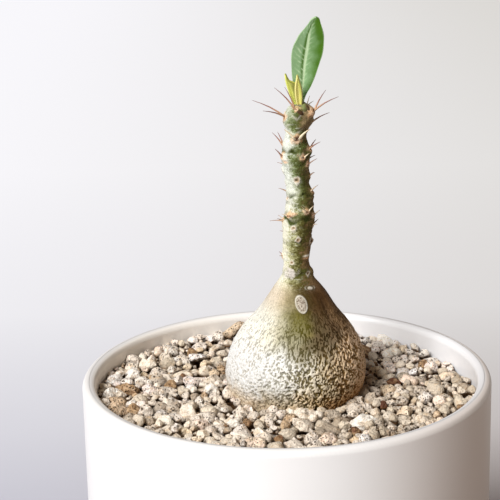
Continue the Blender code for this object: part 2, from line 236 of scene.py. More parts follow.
# %% Pot
POT_RADIUS = 50.0 * MM
POT_HEIGHT = 88.0 * MM
WALL = 3.4 * MM
FLOOR_HEIGHT = 6.0 * MM
FOOT_RADIUS = 33.0 * MM
FOOT_RECESS = 1.5 * MM
DRAIN_RADIUS = 6.0 * MM
BASE_CORNER = 6.0 * MM
FLOOR_CORNER = 8.0 * MM
LIP_CORNER = 0.49 * WALL
POT_SIDES = 288
NEAR = 0.05 * MM


def at_height(height):
    """A rule that picks what lies at a height."""
    return lambda place: abs(place.z - height) < NEAR


def on_ring(radius, height):
    """A rule that picks what lies on a level ring."""
    return lambda place: at_height(height)(place) and abs(place.xy.length - radius) < 4 * NEAR


def flat_at(height, up):
    """A rule that picks the flat face in the middle that looks up, or down for an up of -1."""
    level = at_height(height)
    return lambda middle, normal: level(middle) and normal.z * up > 0.9 and middle.xy.length < NEAR


def drain_end(middle, normal):
    """The two small flats, one in the pot and one under it, that the drain hole joins."""
    return abs(normal.z) > 0.9 and middle.xy.length < NEAR and 0.0 < middle.z < POT_HEIGHT / 2


def push_up(height):
    """Pushes the picked face up, or down if the height is below 0."""
    bpy.ops.mesh.extrude_region_move(TRANSFORM_OT_translate={"value": (0.0, 0.0, height)})


def round_edges(item, rule, corner, steps):
    pick_edges(item, rule)
    bpy.ops.mesh.bevel(offset=corner, segments=steps, affect="EDGES")


bpy.ops.object.select_all(action="DESELECT")
bpy.ops.mesh.primitive_cylinder_add(
    vertices=POT_SIDES, radius=POT_RADIUS, depth=POT_HEIGHT, location=(0.0, 0.0, POT_HEIGHT / 2)
)
pot = bpy.context.object
pot.name = "white_pot"
bpy.ops.object.transform_apply(location=True, rotation=True, scale=True)
bpy.ops.object.mode_set(mode="EDIT")
pick_faces(pot, flat_at(POT_HEIGHT, 1))
bpy.ops.mesh.inset(thickness=WALL)
push_up(FLOOR_HEIGHT - POT_HEIGHT)
bpy.ops.mesh.inset(thickness=POT_RADIUS - WALL - DRAIN_RADIUS)
pick_faces(pot, flat_at(0.0, -1))
bpy.ops.mesh.inset(thickness=POT_RADIUS - FOOT_RADIUS)
push_up(FOOT_RECESS)
bpy.ops.mesh.inset(thickness=FOOT_RADIUS - DRAIN_RADIUS)
pick_faces(pot, drain_end)
bpy.ops.mesh.bridge_edge_loops()
round_edges(pot, at_height(POT_HEIGHT), LIP_CORNER, 12)
round_edges(pot, on_ring(POT_RADIUS, 0.0), BASE_CORNER, 8)
round_edges(pot, on_ring(POT_RADIUS - WALL, FLOOR_HEIGHT), FLOOR_CORNER, 6)
bpy.ops.mesh.select_all(action="SELECT")
bpy.ops.mesh.normals_make_consistent(inside=False)
bpy.ops.object.mode_set(mode="OBJECT")
bpy.ops.object.shade_smooth_by_angle(angle=math.radians(40))

# %% [markdown]
# The glaze is a smooth off-white, and a very faint, broad noise keeps it from looking like plastic. The
# room's light is not the same all round in the picture, so light and shade are painted into the glaze: the
# inside is painted a little whiter at the left, where it lies in shade, and cooler at the right, and the
# outside a little warmer at the right, for the room's warm light in its shade.

# %% Glaze
glaze = Finish("white_satin_glaze", 0.34)
right, back, _ = glaze.parts(glaze.place)
from_axis = glaze.math("SQRT", right * right + back * back)
inside_left = from_axis.step(48.0, 47.0) * right.step(10.0, -30.0)
inside_right = from_axis.step(50.0, 47.5) * right.step(0.0, 25.0)
outside_right = from_axis.step(48.0, 49.0) * right.step(8.0, 46.0)
glaze_colour = glaze.mix(glaze.noise(0.04), (0.80, 0.79, 0.775), (0.84, 0.83, 0.82))
# Painted light and shade in the glaze's colour.
glaze_colour = glaze.mix(inside_left, glaze_colour, (0.98, 0.94, 0.88))
glaze_colour = glaze.mix(inside_right, glaze_colour, (0.93, 0.94, 0.97), "MULTIPLY")
glaze_colour = glaze.mix(outside_right, glaze_colour, (0.98, 0.905, 0.85), "MULTIPLY")
glaze.cover(glaze_colour)
finish_piece(pot, glaze, "pot_glaze", "pot")

# %% [markdown]
# ## The potting mix
# It carries the roots and is hidden by the grit. Its CAD solid has the right shape, so it only gets a
# finish: dark crumbs with a few pale bits of pumice.

# %% Potting mix
soil = Finish("dark_gritty_mix", 0.95)
from_crumb, crumb_tone = soil.cells(0.6)
soil_colour = soil.ramp(
    crumb_tone,
    (0.0, 0.03, 0.022, 0.016), (0.6, 0.10, 0.07, 0.05), (0.85, 0.20, 0.15, 0.11), (1.0, 0.5, 0.46, 0.4),
)
soil.cover(soil_colour, from_crumb, 0.6 * MM)
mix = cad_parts["potting_mix"]
mix.data.materials.clear()
mix.data.materials.append(soil.material)
print("potting mix keeps its CAD solid")

# %% [markdown]
# ## Shapes that the plant and the grit share
# The plant is known by its outline: a radius at each height. A smooth curve through the measured points
# gives the radius everywhere. Heights are in millimetres from the plane of the pot's lip.

# %% Outline of the plant
LIP_PLANE = 86.3
PLANT_Y = 2.5
OUTLINE = (
    (-46.0, 0.8), (-34.0, 2.0), (-25.0, 4.0), (-17.0, 8.2), (-10.0, 12.9), (-4.2, 15.9), (1.8, 17.1),
    (7.8, 15.8), (10.8, 14.3), (13.8, 12.3), (16.7, 9.9), (19.7, 7.9), (22.6, 6.0), (25.2, 4.1),
    (28.0, 3.15), (33.0, 3.35), (40.0, 3.45), (44.0, 3.3), (48.0, 2.7), (54.0, 3.2), (57.5, 2.9),
    (60.2, 2.55), (64.5, 3.1), (66.5, 2.85), (67.5, 2.0), (67.9, 1.0),
)
# How far the middle of the plant lies to the right of the pot's axis.
LEAN = (
    (-46.0, 1.2), (-4.2, 2.2), (10.0, 2.8), (19.0, 3.3), (28.0, 3.0), (36.0, 3.2), (44.0, 3.9),
    (53.0, 3.1), (60.0, 3.2), (65.0, 4.1), (67.9, 4.3),
)


def smooth_curve(points):
    """A function that gives the value at a place, on a smooth curve through the points."""
    places, values = (np.array(column, float) for column in zip(*points))
    slopes = np.gradient(values, places)

    def value_at(place):
        k = int(np.clip(np.searchsorted(places, place) - 1, 0, len(places) - 2))
        span = places[k + 1] - places[k]
        t = float(np.clip((place - places[k]) / span, 0.0, 1.0))
        start = (2 * t**3 - 3 * t**2 + 1) * values[k] + (t**3 - 2 * t**2 + t) * span * slopes[k]
        end = (3 * t**2 - 2 * t**3) * values[k + 1] + (t**3 - t**2) * span * slopes[k + 1]
        return float(start + end)

    return value_at


plant_radius = smooth_curve(OUTLINE)
plant_lean = smooth_curve(LEAN)
print("base is widest at 1.8 mm over the lip:", round(2 * plant_radius(1.8), 1), "mm")


def step_between(low, high, value):
    """0 below low, 1 above high, smooth in between."""
    t = min(1.0, max(0.0, (value - low) / (high - low)))
    return t * t * (3 - 2 * t)


def bell(away, width, power=2):
    """1 in the middle, falling to 0 past the width. A higher power gives a flatter top."""
    return np.exp(-((away / width) ** power))


def store(item, name, values):
    """Keeps one value for each point of a mesh, for its material to read."""
    attribute = item.data.attributes.new(name, "FLOAT", "POINT")
    attribute.data.foreach_set("value", np.asarray(values, np.float32))


def add_mesh_piece(name, points, faces, values):
    """A new object from points in millimetres, with its place in its mesh, and its stored values."""
    mesh = bpy.data.meshes.new(name)
    mesh.from_pydata((np.asarray(points, float) * MM).tolist(), [], faces)
    mesh.shade_smooth()
    item = bpy.data.objects.new(name, mesh)
    bpy.context.scene.collection.objects.link(item)
    for value_name, column in values.items():
        store(item, value_name, column)
    return item


# %% [markdown]
# ## Pumice: one stone
# Pumice grit is crushed stone froth that has been tumbled a little, so a stone is lumpy with a few worn
# flats. A ball of 80 faces is enough, since hundreds of copies follow: noise makes it lumpy and a few
# planes press the flats. The few large stones that catch the eye start from a finer ball.

# %% Kinds of stone
STONE_KINDS = 18
FLATS = 8


def stone_kind(seed, fineness):
    """The points and faces of one stone, about 1 from its middle to its skin."""
    draw = random.Random(seed)
    bpy.ops.object.select_all(action="DESELECT")
    bpy.ops.mesh.primitive_ico_sphere_add(subdivisions=fineness, radius=1.0)
    ball = bpy.context.object
    offset = Vector([draw.uniform(0, 50) for _ in range(3)])
    flats = []
    for _ in range(FLATS):
        normal = Vector([draw.gauss(0, 1) for _ in range(3)]).normalized()
        flats.append((normal, draw.uniform(0.62, 0.88)))
    for vert in ball.data.vertices:
        way = vert.co.normalized()
        lumps = 0.62 * noise.noise(way * 1.3 + offset) + 0.50 * noise.noise(way * 2.6 + offset)
        reach = 1.02 + lumps + 0.12 * (fineness > 2) * noise.noise(way * 6.0 + offset)
        for normal, depth in flats:
            if way.dot(normal) * reach > depth:
                reach += 0.75 * (depth / way.dot(normal) - reach)
        vert.co = way * reach
    points = np.array([vert.co for vert in ball.data.vertices])
    faces = [tuple(face.vertices) for face in ball.data.polygons]
    bpy.data.objects.remove(ball, do_unlink=True)
    return points, faces


kinds = [stone_kind(100 + seed, 2) for seed in range(STONE_KINDS)]
fine_kinds = [stone_kind(300 + seed, 3) for seed in range(STONE_KINDS)]
print("kinds of stone:", len(kinds), "faces each:", len(kinds[0][1]))

# %% [markdown]
# ## Pumice: how the stones lie
# Stones poured from a bag fall into the lowest hollow near where they land. The rule below does the same:
# each stone tries several places, rests on what lies there already, and keeps the lowest. It stops when
# the bed reaches its level, a shallow dish with a low heap in front of the plant. Small stones follow, and
# fill the gaps between the large ones.

# %% Where the stones rest
BORE_RADIUS = 46.6
PLANT_X = 2.4
BED = -7.6
TRIES = 16
NEST = 0.88
MIDDLE_STONES = ((0.30, 2.4, 3.2), (0.38, 1.8, 2.4), (0.21, 1.3, 1.8), (0.11, 0.95, 1.3))
FILLING_STONES = ((1.0, 0.55, 0.95),)
COLLAR_STONES = 46
COLLAR_X = 2.3
HEAP_PLACE = (2.0, -18.0)
HEAP_RISE = 0.9
HEAP_RADIUS = 7.0
TOP_AT_PLANT = -3.2
TOP_AT_WALL = -1.9
FALL_TO_THE_RIGHT = 0.014


def grit_level(x, y):
    """The level of the stones' tops."""
    out = np.minimum(1.0, np.hypot(x - PLANT_X, y - PLANT_Y) / BORE_RADIUS)
    from_heap = np.hypot(x - HEAP_PLACE[0], y - HEAP_PLACE[1])
    dish = TOP_AT_PLANT + (TOP_AT_WALL - TOP_AT_PLANT) * out**2
    return dish - FALL_TO_THE_RIGHT * x + HEAP_RISE * bell(from_heap, HEAP_RADIUS)


# Stones that stand out, as (x, y, how far over the level, half sizes, turn, lean, tone).
SPECIAL_STONES = (
    (-42.8, 6.6, 0.9, (1.9, 1.7, 1.8), 20, 0, 0.76), (-41.0, -7.6, 0.6, (2.7, 1.9, 1.8), -35, 10, 0.93),
    (-36.9, -12.4, 0.5, (2.4, 2.1, 1.9), 15, 0, 0.955), (-12.8, 41.2, 2.0, (4.4, 1.4, 1.3), 38, -22, 0.90),
    (-20.4, 19.4, 0.9, (1.9, 1.5, 1.6), 60, 20, 0.885), (-18.2, 12.6, 0.7, (1.6, 1.5, 1.4), 10, 0, 0.90),
    (-18.7, 2.2, 0.6, (2.0, 1.5, 1.5), 15, 0, 0.74), (-22.8, 22.0, 1.2, (2.6, 1.4, 0.8), 12, 5, 0.77),
    (-12.9, -20.6, 0.7, (1.7, 1.5, 1.6), 0, 0, 0.70), (0.3, -20.2, 0.8, (2.0, 1.4, 1.4), 5, -15, 0.925),
    (17.3, -21.2, 1.3, (3.3, 2.7, 2.7), -20, 0, 0.72), (23.2, 14.2, 0.8, (2.3, 1.8, 1.8), 0, 0, 0.885),
    (27.2, 6.0, 0.3, (2.0, 1.2, 1.0), -25, 0, 1.0), (23.2, -10.4, 0.6, (1.2, 0.9, 1.2), 50, 30, 1.1),
    (16.9, -32.7, 0.6, (1.9, 1.6, 1.6), 30, 0, 0.75), (-7.8, -33.6, 0.5, (3.1, 1.7, 1.5), 3, 0, 0.84),
    (9.0, -32.2, 0.6, (2.9, 1.5, 1.5), 20, 8, 0.83), (40.2, 8.0, 0.6, (2.2, 1.6, 1.5), -10, 0, 0.85),
    (42.9, 5.0, 0.6, (1.6, 1.7, 1.7), 40, 0, 0.12), (-19.9, -17.1, 1.0, (3.2, 2.4, 2.3), 30, 10, 0.52),
    (-32.3, 12.2, 0.9, (2.8, 2.1, 1.9), 25, 0, 0.40), (-29.0, -20.5, 0.7, (2.6, 2.0, 1.9), -20, 0, 0.66),
    (7.0, -17.4, 1.0, (1.9, 1.6, 1.7), 0, 0, 0.58), (33.5, -6.0, 0.7, (2.3, 1.8, 1.7), 35, 0, 0.60),
    (31.0, -21.0, 0.7, (2.4, 1.9, 1.8), -30, 0, 0.48), (-30.0, 28.5, 1.1, (2.6, 2.0, 1.9), 0, 15, 0.64),
)


class Bed:
    """Stones as balls: their places, sizes and how many there are."""

    def __init__(self, most):
        self.x, self.y, self.z, self.r = (np.zeros(most) for _ in range(4))
        self.count = 0

    def add(self, x, y, z, r):
        n = self.count
        self.x[n], self.y[n], self.z[n], self.r[n] = x, y, z, r
        self.count += 1

    def resting_height(self, x, y, r):
        """How high a ball of radius r comes to rest at each of several places."""
        n = self.count
        away = np.hypot(x[:, None] - self.x[:n], y[:, None] - self.y[:n])
        reach = NEST * (self.r[:n] + r)
        lift = np.sqrt(np.maximum(reach**2 - away**2, 0.0))
        touching = np.where(away < reach, self.z[:n] + lift, BED + 0.5 * r)
        return np.maximum(touching.max(axis=1, initial=BED + 0.5 * r), BED + 0.5 * r)


def pick_size(draw, sizes):
    """A radius from a list of (share, smallest, largest)."""
    pick = draw.random()
    for share, low, high in sizes:
        if pick <= share:
            break
        pick -= share
    return draw.uniform(low, high)


def pour(bed, draw, sizes, patience, over):
    """Pours stones until many in a row find no hollow low enough."""
    missed = 0
    while missed < patience and bed.count < len(bed.x) - 1:
        r = pick_size(draw, sizes)
        inner = plant_radius(-3.5) + 0.5 * r
        out = np.sqrt(draw.uniform(inner**2, (BORE_RADIUS - 0.8 * r) ** 2, TRIES))
        turn = draw.uniform(0, 2 * np.pi, TRIES)
        x, y = out * np.cos(turn), out * np.sin(turn)
        clear = np.hypot(x - PLANT_X, y - PLANT_Y) > inner
        if not clear.any():
            continue
        x, y = x[clear], y[clear]
        z = bed.resting_height(x, y, r)
        excess = z + 0.7 * r - grit_level(x, y)
        best = int(np.argmin(excess))
        if excess[best] > over:
            missed += 1
            continue
        missed = 0
        bed.add(x[best], y[best], z[best], r)


bed = Bed(2300)
for x, y, over, half, _, _, _ in SPECIAL_STONES:
    bed.add(x, y, float(grit_level(x, y)) + over - half[2], 0.9 * (half[0] + half[1]) / 2)
draw = np.random.default_rng(7)
for turn in np.arange(COLLAR_STONES) * 2 * math.pi / COLLAR_STONES:
    r = draw.uniform(1.0, 1.9)
    out = plant_radius(-3.5) + draw.uniform(0.5, 0.9) * r
    x, y = COLLAR_X + out * math.cos(turn), PLANT_Y + out * math.sin(turn)
    z = bed.resting_height(np.array([x]), np.array([y]), r)[0]
    if z + 0.7 * r < grit_level(x, y) + 0.9:
        bed.add(x, y, max(z, grit_level(x, y) - 1.0 * r), r)
pour(bed, draw, MIDDLE_STONES, 60, 0.6)
middle_count = bed.count
pour(bed, draw, FILLING_STONES, 30, -0.7)
print("stones:", middle_count, "and small ones:", bed.count - middle_count)

# %% [markdown]
# ## Pumice: the stones in the pot
# Each resting place gets a copy of one kind of stone, turned at random and a little flatter than wide.
# A stone never reaches into the pot's wall. Three values are stored on its points: its tone, from grey to
# cream and tan, how porous it is, and how low a point lies, on the stone and in the bed: the finish paints
# shade there, as dark as the gaps.

# %% Grit
COLOURED_SHARE = 0.125
COLOURED_TONES = (0.8, 0.98)
PALEST = 0.79


def copies_of(kinds, places, draw):
    """One mesh from many copies: points, faces and the stored values."""
    points, faces, tones, pores, lows = [], [], [], [], []
    start = 0
    for x, y, z, half, turn, tone, kind in places:
        shape, shape_faces = kinds[kind]
        turned = (shape * half) @ np.array(turn).T
        sunk = grit_level(x, y) + LIP_PLANE - z - 0.7 * half[2]
        # How low a point lies, on its stone and in the bed, for the painted shade of the finish.
        low = np.clip((0.15 - turned[:, 2] / max(half)) / 0.8 + 0.45 * max(0.0, sunk), 0.0, 1.0)
        moved = turned + (x, y, z)
        out = np.hypot(moved[:, 0], moved[:, 1])
        moved[:, :2] *= np.minimum(1.0, (BORE_RADIUS - 0.1) / np.maximum(out, 1e-6))[:, None]
        points.append(moved)
        faces += [tuple(start + i for i in face) for face in shape_faces]
        tones += [tone] * len(shape)
        pores += [draw.random()] * len(shape)
        lows += list(low)
        start += len(shape)
    return np.concatenate(points), faces, {"tone": tones, "pores": pores, "low": lows}


def random_turn(draw, lean):
    """A turn about the upright and a lean of that many radians at most."""
    spin = Matrix.Rotation(draw.uniform(0, 2 * math.pi), 3, "Z")
    tip = Matrix.Rotation(draw.uniform(-lean, lean), 3, "X")
    return tip @ Matrix.Rotation(draw.uniform(-lean, lean), 3, "Y") @ spin


def random_tone(draw):
    """Most stones are beige to cream, and one in eight is pink, yellow or brown."""
    if draw.random() < COLOURED_SHARE:
        return draw.uniform(*COLOURED_TONES)
    return min(PALEST, max(0.0, draw.gauss(0.50, 0.21)))


def tone_with_painted_shade_and_light(x, y, tone):
    """As in the picture: painted shade deepens the tone at the front and the right, and painted light makes
    it paler at the right behind the plant, where the plant's shadow falls.
    """
    if tone >= COLOURED_TONES[0]:
        return tone
    if x > 6.0:
        return min(PALEST, tone + 0.18) if y > 12.0 else 0.50 * tone
    return 0.80 * tone if y < -12.0 else tone


draw = random.Random(3)
places = []
for n in range(len(SPECIAL_STONES), bed.count):
    r = bed.r[n]
    half = np.array([r * draw.uniform(1.0, 1.35), r * draw.uniform(0.85, 1.1), r * draw.uniform(0.72, 1.0)])
    turn = random_turn(draw, 0.9)
    kind = draw.randrange(STONE_KINDS)
    tone = tone_with_painted_shade_and_light(bed.x[n], bed.y[n], random_tone(draw))
    places.append((bed.x[n], bed.y[n], bed.z[n] + LIP_PLANE, half, turn, tone, kind))
points, faces, stone_values = copies_of(kinds, places, draw)
grit_stones = add_mesh_piece("pumice_grit", points, faces, stone_values)
take_up(grit_stones)
bpy.ops.object.shade_smooth_by_angle(angle=math.radians(42))
print("grit triangles:", len(faces))

special = []
for n, (x, y, over, half, turn, lean, tone) in enumerate(SPECIAL_STONES):
    z = float(grit_level(x, y)) + over - half[2] + LIP_PLANE
    pose = Matrix.Rotation(math.radians(turn), 3, "Z") @ Matrix.Rotation(math.radians(lean), 3, "Y")
    special.append((x, y, z, np.array(half), pose, tone, n % STONE_KINDS))
points, faces, stone_values = copies_of(fine_kinds, special, draw)
large_stones = add_mesh_piece("pumice_large", points, faces, stone_values)

# %% [markdown]
# Only the upper layers of the grit are made stone by stone. What lies deeper shows as dark gaps between
# them, so a plain thick disc from wall to wall stands for it, and its colour is painted shade, as dark as
# the deepest gaps.

# %% Bed under the grit
UNDER_DEPTH = 6.5
UNDER_MIDDLE = LIP_PLANE - 9.4

bpy.ops.object.select_all(action="DESELECT")
bpy.ops.mesh.primitive_cylinder_add(
    vertices=96,
    radius=(BORE_RADIUS - 0.4) * MM,
    depth=UNDER_DEPTH * MM,
    location=(0.0, 0.0, UNDER_MIDDLE * MM),
)
under = bpy.context.object
under.name = "pumice_bed_painted_shade"
bpy.ops.object.transform_apply(location=True, rotation=True, scale=True)
# The darkest tone and full painted shade.
for name, value in (("tone", 0.05), ("pores", 0.5), ("low", 1.0)):
    store(under, name, [value] * len(under.data.vertices))

# %% [markdown]
# ## Pumice finish
# Pumice is beige to cream, with some grey, yellow, pink or rusty stones, and some are full of small dark
# pores. The tone of a stone picks its colour from a ramp, broad noise stains it, and cells make the pores:
# each cell has one pore at its middle, and a random value of the cell tells whether it is open.

# %% Pumice finish
pumice = Finish("porous_pumice", 0.95, 0.2)


def open_pores(scale, size, share):
    """1 inside the pores of a random share of the cells."""
    from_middle, luck = pumice.cells(scale)
    return from_middle.step(size, 0.55 * size) * pumice.math("LESS_THAN", luck, share)


dust = pumice.noise(1.3, 4.0, 0.65)
stain_and_shade = pumice.noise(0.7, 3.0, 0.6)
grain = pumice.noise(3.2, 2.0, 0.6)
porous = pumice.stored("pores")
under_side = pumice.stored("low").step(0.05, 0.75)
stone_colour = pumice.ramp(
    pumice.stored("tone") + 0.16 * dust - 0.08,
    (0.0, 0.36, 0.29, 0.22), (0.15, 0.55, 0.48, 0.39), (0.32, 0.74, 0.66, 0.55),
    (0.50, 0.86, 0.78, 0.68), (0.66, 0.93, 0.88, 0.80), (0.76, 0.97, 0.95, 0.92),
    (0.82, 0.91, 0.74, 0.62), (0.87, 0.91, 0.79, 0.60), (0.92, 0.68, 0.52, 0.36),
    (0.96, 0.36, 0.23, 0.12), (1.0, 0.14, 0.06, 0.035),
)
hue = pumice.mix(porous, (1.0, 0.965, 0.89), (0.985, 0.965, 0.97))
stone_colour = pumice.mix(1.0, stone_colour, hue, "MULTIPLY")
stone_colour = pumice.mix(0.5 * stain_and_shade.step(0.52, 0.66), stone_colour, (0.58, 0.40, 0.23))
# Painted shade on the stones' lower parts and deeper in the bed.
stone_colour = pumice.mix(0.95 * under_side, stone_colour, (0.10, 0.042, 0.008))
fine_pores = open_pores(1.8, 0.36, 0.62) * porous.step(0.20, 0.75)
wide_pores = open_pores(0.75, 0.30, 0.45) * porous.step(0.50, 0.70)
pores = pumice.math("MAXIMUM", fine_pores, wide_pores)
# The pores are pressed in by the bump, and their dark colour is painted shade in the holes.
stone_colour = pumice.mix(0.88 * pores, stone_colour, (0.07, 0.04, 0.018))
stone_colour = pumice.scaled(stone_colour, 1.3 * grain + 0.50)
pumice.cover(stone_colour, 1.2 * stain_and_shade + dust + 0.45 * grain - pores, 0.8 * MM)
finish_piece(grit_stones, pumice, "pumice", "pumice_gravel")
finish_piece(large_stones, pumice, "pumice")
finish_piece(under, pumice, "pumice")

# %% [markdown]
# ## The plant's tubercles
# Each spine pair, and each scar that one left, sits on a small mound of the stem. They are listed by
# height and compass angle, where -90 degrees faces the viewer. Woolly ones still carry spines. Scars
# have a pale corky ring around a brown pit.

# %% Tubercles
BUD_HEIGHT = 66.5
YOUNG_HEIGHT = 64.5
# Pairs of living spines, as (height, angle, thickness, paleness, how far each tip lies from its foot).
CROWN = (
    (66.2, -22.0, 0.26, 0.0, ((2.9, 2.7, 4.5), (5.6, -2.1, 3.7))),
    (65.0, -167.0, 0.26, 0.0, ((-7.4, 1.0, 3.8), (-5.2, -3.2, 2.2))),
    (67.0, -108.0, 0.26, 0.0, ((-4.6, 0.2, 5.2), (-2.2, 0.8, 5.2))),
    (66.4, 52.0, 0.22, 0.8, ((0.9, 3.0, 2.2), (1.8, 3.0, 0.9))),
    (63.4, 16.0, 0.26, 0.0, ((4.0, 1.0, 1.9), (1.4, 5.2, 2.0))),
    (60.2, -87.0, 0.40, 1.0, ((-2.1, -0.7, 2.3), (2.2, -3.0, 2.7))),
    (57.8, 170.0, 0.26, 0.0, ((-2.4, 0.4, 3.2), (-1.2, 2.6, 2.6))),
    (58.4, 60.0, 0.26, 0.0, ((-1.0, 3.4, 2.2), (1.4, 3.2, 2.2))),
    (55.7, -157.0, 0.26, 0.0, ((-1.3, -0.5, 1.7), (-0.8, -1.4, 1.0))),
    (57.2, -12.0, 0.26, 0.0, ((2.5, -0.8, 1.8), (1.4, 2.2, 1.6))),
    (55.5, -60.0, 0.24, 1.0, ((-0.8, -1.2, 1.0), (1.0, -1.0, 1.2))),
    (42.3, -63.0, 0.24, 0.8, ((-1.0, -1.5, 1.9), (1.1, -1.3, 1.8))),
)
# Worn pairs lower down, as (height, angle).
WORN_PAIRS = (
    (54.2, 30.0), (53.6, -34.0), (52.4, 122.0), (50.4, -5.0), (49.4, 75.0),
    (46.9, -15.0), (46.4, 150.0), (44.2, 60.0), (41.9, 105.0), (41.2, -134.0),
    (40.9, -24.0), (39.4, 172.0), (38.4, -8.0), (37.6, 62.0), (35.8, 130.0), (33.4, 84.0), (30.6, 178.0),
)
# Scars, as (height, angle, size), and ledges under a lost leaf, as (height, angle, rise, size).
SCARS = (
    (51.8, -170.0, 0.9), (50.0, -94.0, 1.0), (45.3, -155.0, 0.7), (38.4, -107.0, 0.8), (35.5, -88.0, 0.75),
    (34.6, -20.0, 1.0), (29.6, -112.0, 0.6), (28.6, 40.0, 0.8), (26.7, -42.0, 0.7),
    (48.6, 170.0, 0.8), (36.4, 20.0, 0.8), (33.0, 150.0, 0.7), (43.0, 20.0, 0.7), (30.8, 100.0, 0.8),
)
LEDGES = ((31.2, -46.0, 0.35, 1.0), (54.9, -140.0, 0.2, 0.8))
mounds = []
for height, angle, _, _, _ in CROWN:
    size = 0.55 if height > BUD_HEIGHT else 1.25 if height > YOUNG_HEIGHT else 0.95
    rise = 0.35 if height > BUD_HEIGHT or angle > 165.0 else 0.75
    mounds.append((height, math.radians(angle), "wool", rise, size))
mounds += [(height, math.radians(angle), "wool", 0.58, 0.8) for height, angle in WORN_PAIRS]
mounds += [(height, math.radians(angle), "scar", 0.22, size) for height, angle, size in SCARS]
mounds += [(height, math.radians(angle), "ledge", rise, size) for height, angle, rise, size in LEDGES]
print("tubercles and scars:", len(mounds))

# %% [markdown]
# ## The plant's skin
# The base and the stem grew as one piece, so they are one skin: rings of points round a leaning middle
# line. Fine relief can't be pushed in by hand, so a rule sets each point. On the belly the bark has torn
# into short worm-like cork ridges as the base swelled. Noise of one size that is cut at a level gives
# such a maze, and a lower level makes the ridges wider, as on the sunny side. The noise's seed is set, so
# that the same net comes out each time.

# %% Cork net
BELLY = 17.0
# Furrows, as (angle, lower end, upper end), and the net's noises, as (size, share).
FURROWS = (
    (-104.0, -9.0, 5.0), (-97.0, -7.0, 10.0), (-89.0, -9.0, 9.0), (-83.0, -6.0, 8.0), (-74.0, -9.0, 3.0),
    (-52.0, -9.0, 6.0), (-128.0, -9.0, 2.0), (-10.0, -9.0, 7.0), (30.0, -8.0, 8.0), (55.0, -9.0, 5.0),
    (84.0, -8.0, 9.0), (120.0, -9.0, 4.0), (150.0, -8.0, 7.0), (-160.0, -9.0, 6.0),
)
NET_SIZES = ((0.36, 1.0), (0.85, 0.35))
NET_SEED = 7

noise.seed_set(NET_SEED)


def cork_net(place, leftness):
    """More than 0 on the worm-like ridges and less than 0 in the gaps between them."""
    warped = place + 0.35 * noise.noise_vector(place * 0.7)
    level = 0.05 - 0.20 * leftness
    return sum(share * noise.noise(warped / size) for size, share in NET_SIZES) - level


def in_furrow(angle, height):
    """1 in the few long wavy furrows of the belly."""
    deepest = 0.0
    for middle, low, high in FURROWS:
        if low < height < high:
            sway = 0.55 * math.sin(height * 1.1 + middle) + 0.3 * math.sin(height * 2.3 + 2 * middle)
            off = ((math.degrees(angle) - middle + 180) % 360 - 180) * math.radians(BELLY) - sway
            fade = step_between(low, low + 2, height) * (1 - step_between(high - 3, high, height))
            deepest = max(deepest, fade * math.exp(-((off / 0.28) ** 2)))
    return deepest


def belly_point(height, angle, along):
    """Relief in mm, the net, how much of it there is and how corky it is, at a point of the base."""
    place = Vector((BELLY * math.cos(angle), BELLY * math.sin(angle), along))
    leftness = 0.5 - 0.5 * math.cos(angle)
    patchy = noise.noise(place * 0.35 + Vector((9.0, 4.0, 2.0)))
    off_front = (math.degrees(angle) + 78 + 180) % 360 - 180
    smooth_patch = math.exp(-((off_front / 34) ** 2))
    height += 2.0 * patchy - 3.8 * (1.0 - leftness) * (0.3 + 1.2 * leftness)
    amount = 1.0 - 0.9 * step_between(13.0, 20.0, height + 2.0 * smooth_patch)
    corky = 1.0 - step_between(8.0, 14.0, height + 4.0 * smooth_patch)
    net = cork_net(place, leftness)
    furrow = in_furrow(angle, height)
    ridge = step_between(-0.25, 0.22, net)
    lumps = 0.30 * noise.noise(place * 0.17) + 0.10 * noise.noise(place * 0.6)
    relief = 0.40 * (ridge - 0.5) * amount * (0.3 + 0.7 * corky) + lumps - 0.30 * furrow * corky
    return relief, net - 0.3 * furrow * corky, amount, corky


# %% [markdown]
# The stem's relief is simpler: a low mound under each pair of spines, a ring with a pit for each scar,
# and grooves where one year's growth ended.

# %% Stem relief
# Grooves, as (height, depth, width), and leaf scars, as (height, angle, half width, half height, tilt).
GROOVES = (
    (56.1, 0.34, 0.42), (53.4, 0.14, 0.3), (45.5, 0.24, 0.32), (43.6, 0.14, 0.3), (40.0, 0.34, 0.45),
    (34.0, 0.12, 0.3), (26.4, 0.22, 0.45),
)
OVAL_SCAR = (20.5, math.radians(-86.0), 1.30, 1.85, math.radians(20))
FLAT_SCAR = (23.6, math.radians(-56.0), 1.35, 0.56, math.radians(-4))
# Pale seams between the leaf cushions of the tip, as (angle of the V, height of its foot, rise to each side).
SEAMS = (
    (-100.0, 64.6, 0.75, 1.4), (20.0, 64.4, 0.9, 0.9), (140.0, 65.0, 0.9, 0.9), (-165.0, 61.9, 0.8, 0.8),
    (80.0, 61.2, 0.8, 0.8), (-100.0, 61.0, 0.45, 0.7),
)
SEAM_REACH = 2.4
# Knobs that stand out at the right edge, as (height, angle, rise, size).
KNOBS = (
    (55.9, -6.0, 0.65, 1.25), (45.7, -5.0, 0.5, 1.1), (40.1, -5.0, 0.45, 1.1), (34.3, -8.0, 0.45, 0.8),
    (26.9, -10.0, 0.65, 1.1), (48.0, 120.0, 0.5, 1.2), (37.5, 150.0, 0.5, 1.1), (43.5, 80.0, 0.5, 1.1),
    (54.0, 90.0, 0.5, 1.2),
)
# Woolly patches below spines, as (height, angle, half width, half height), and the brown hollow of one
# pair, as (height, angle, size).
FELT = ((59.9, -85.0, 1.2, 1.15), (66.2, -38.0, 0.8, 1.25), (41.6, -126.0, 1.3, 0.7), (63.6, 172.0, 0.8, 1.2))
HOLLOW = (60.0, -84.0, 0.66)


def round_the_stem(angles, turn, radius):
    """How far each point lies from a compass angle, in mm round the stem."""
    return ((angles - turn + math.pi) % (2 * math.pi) - math.pi) * radius


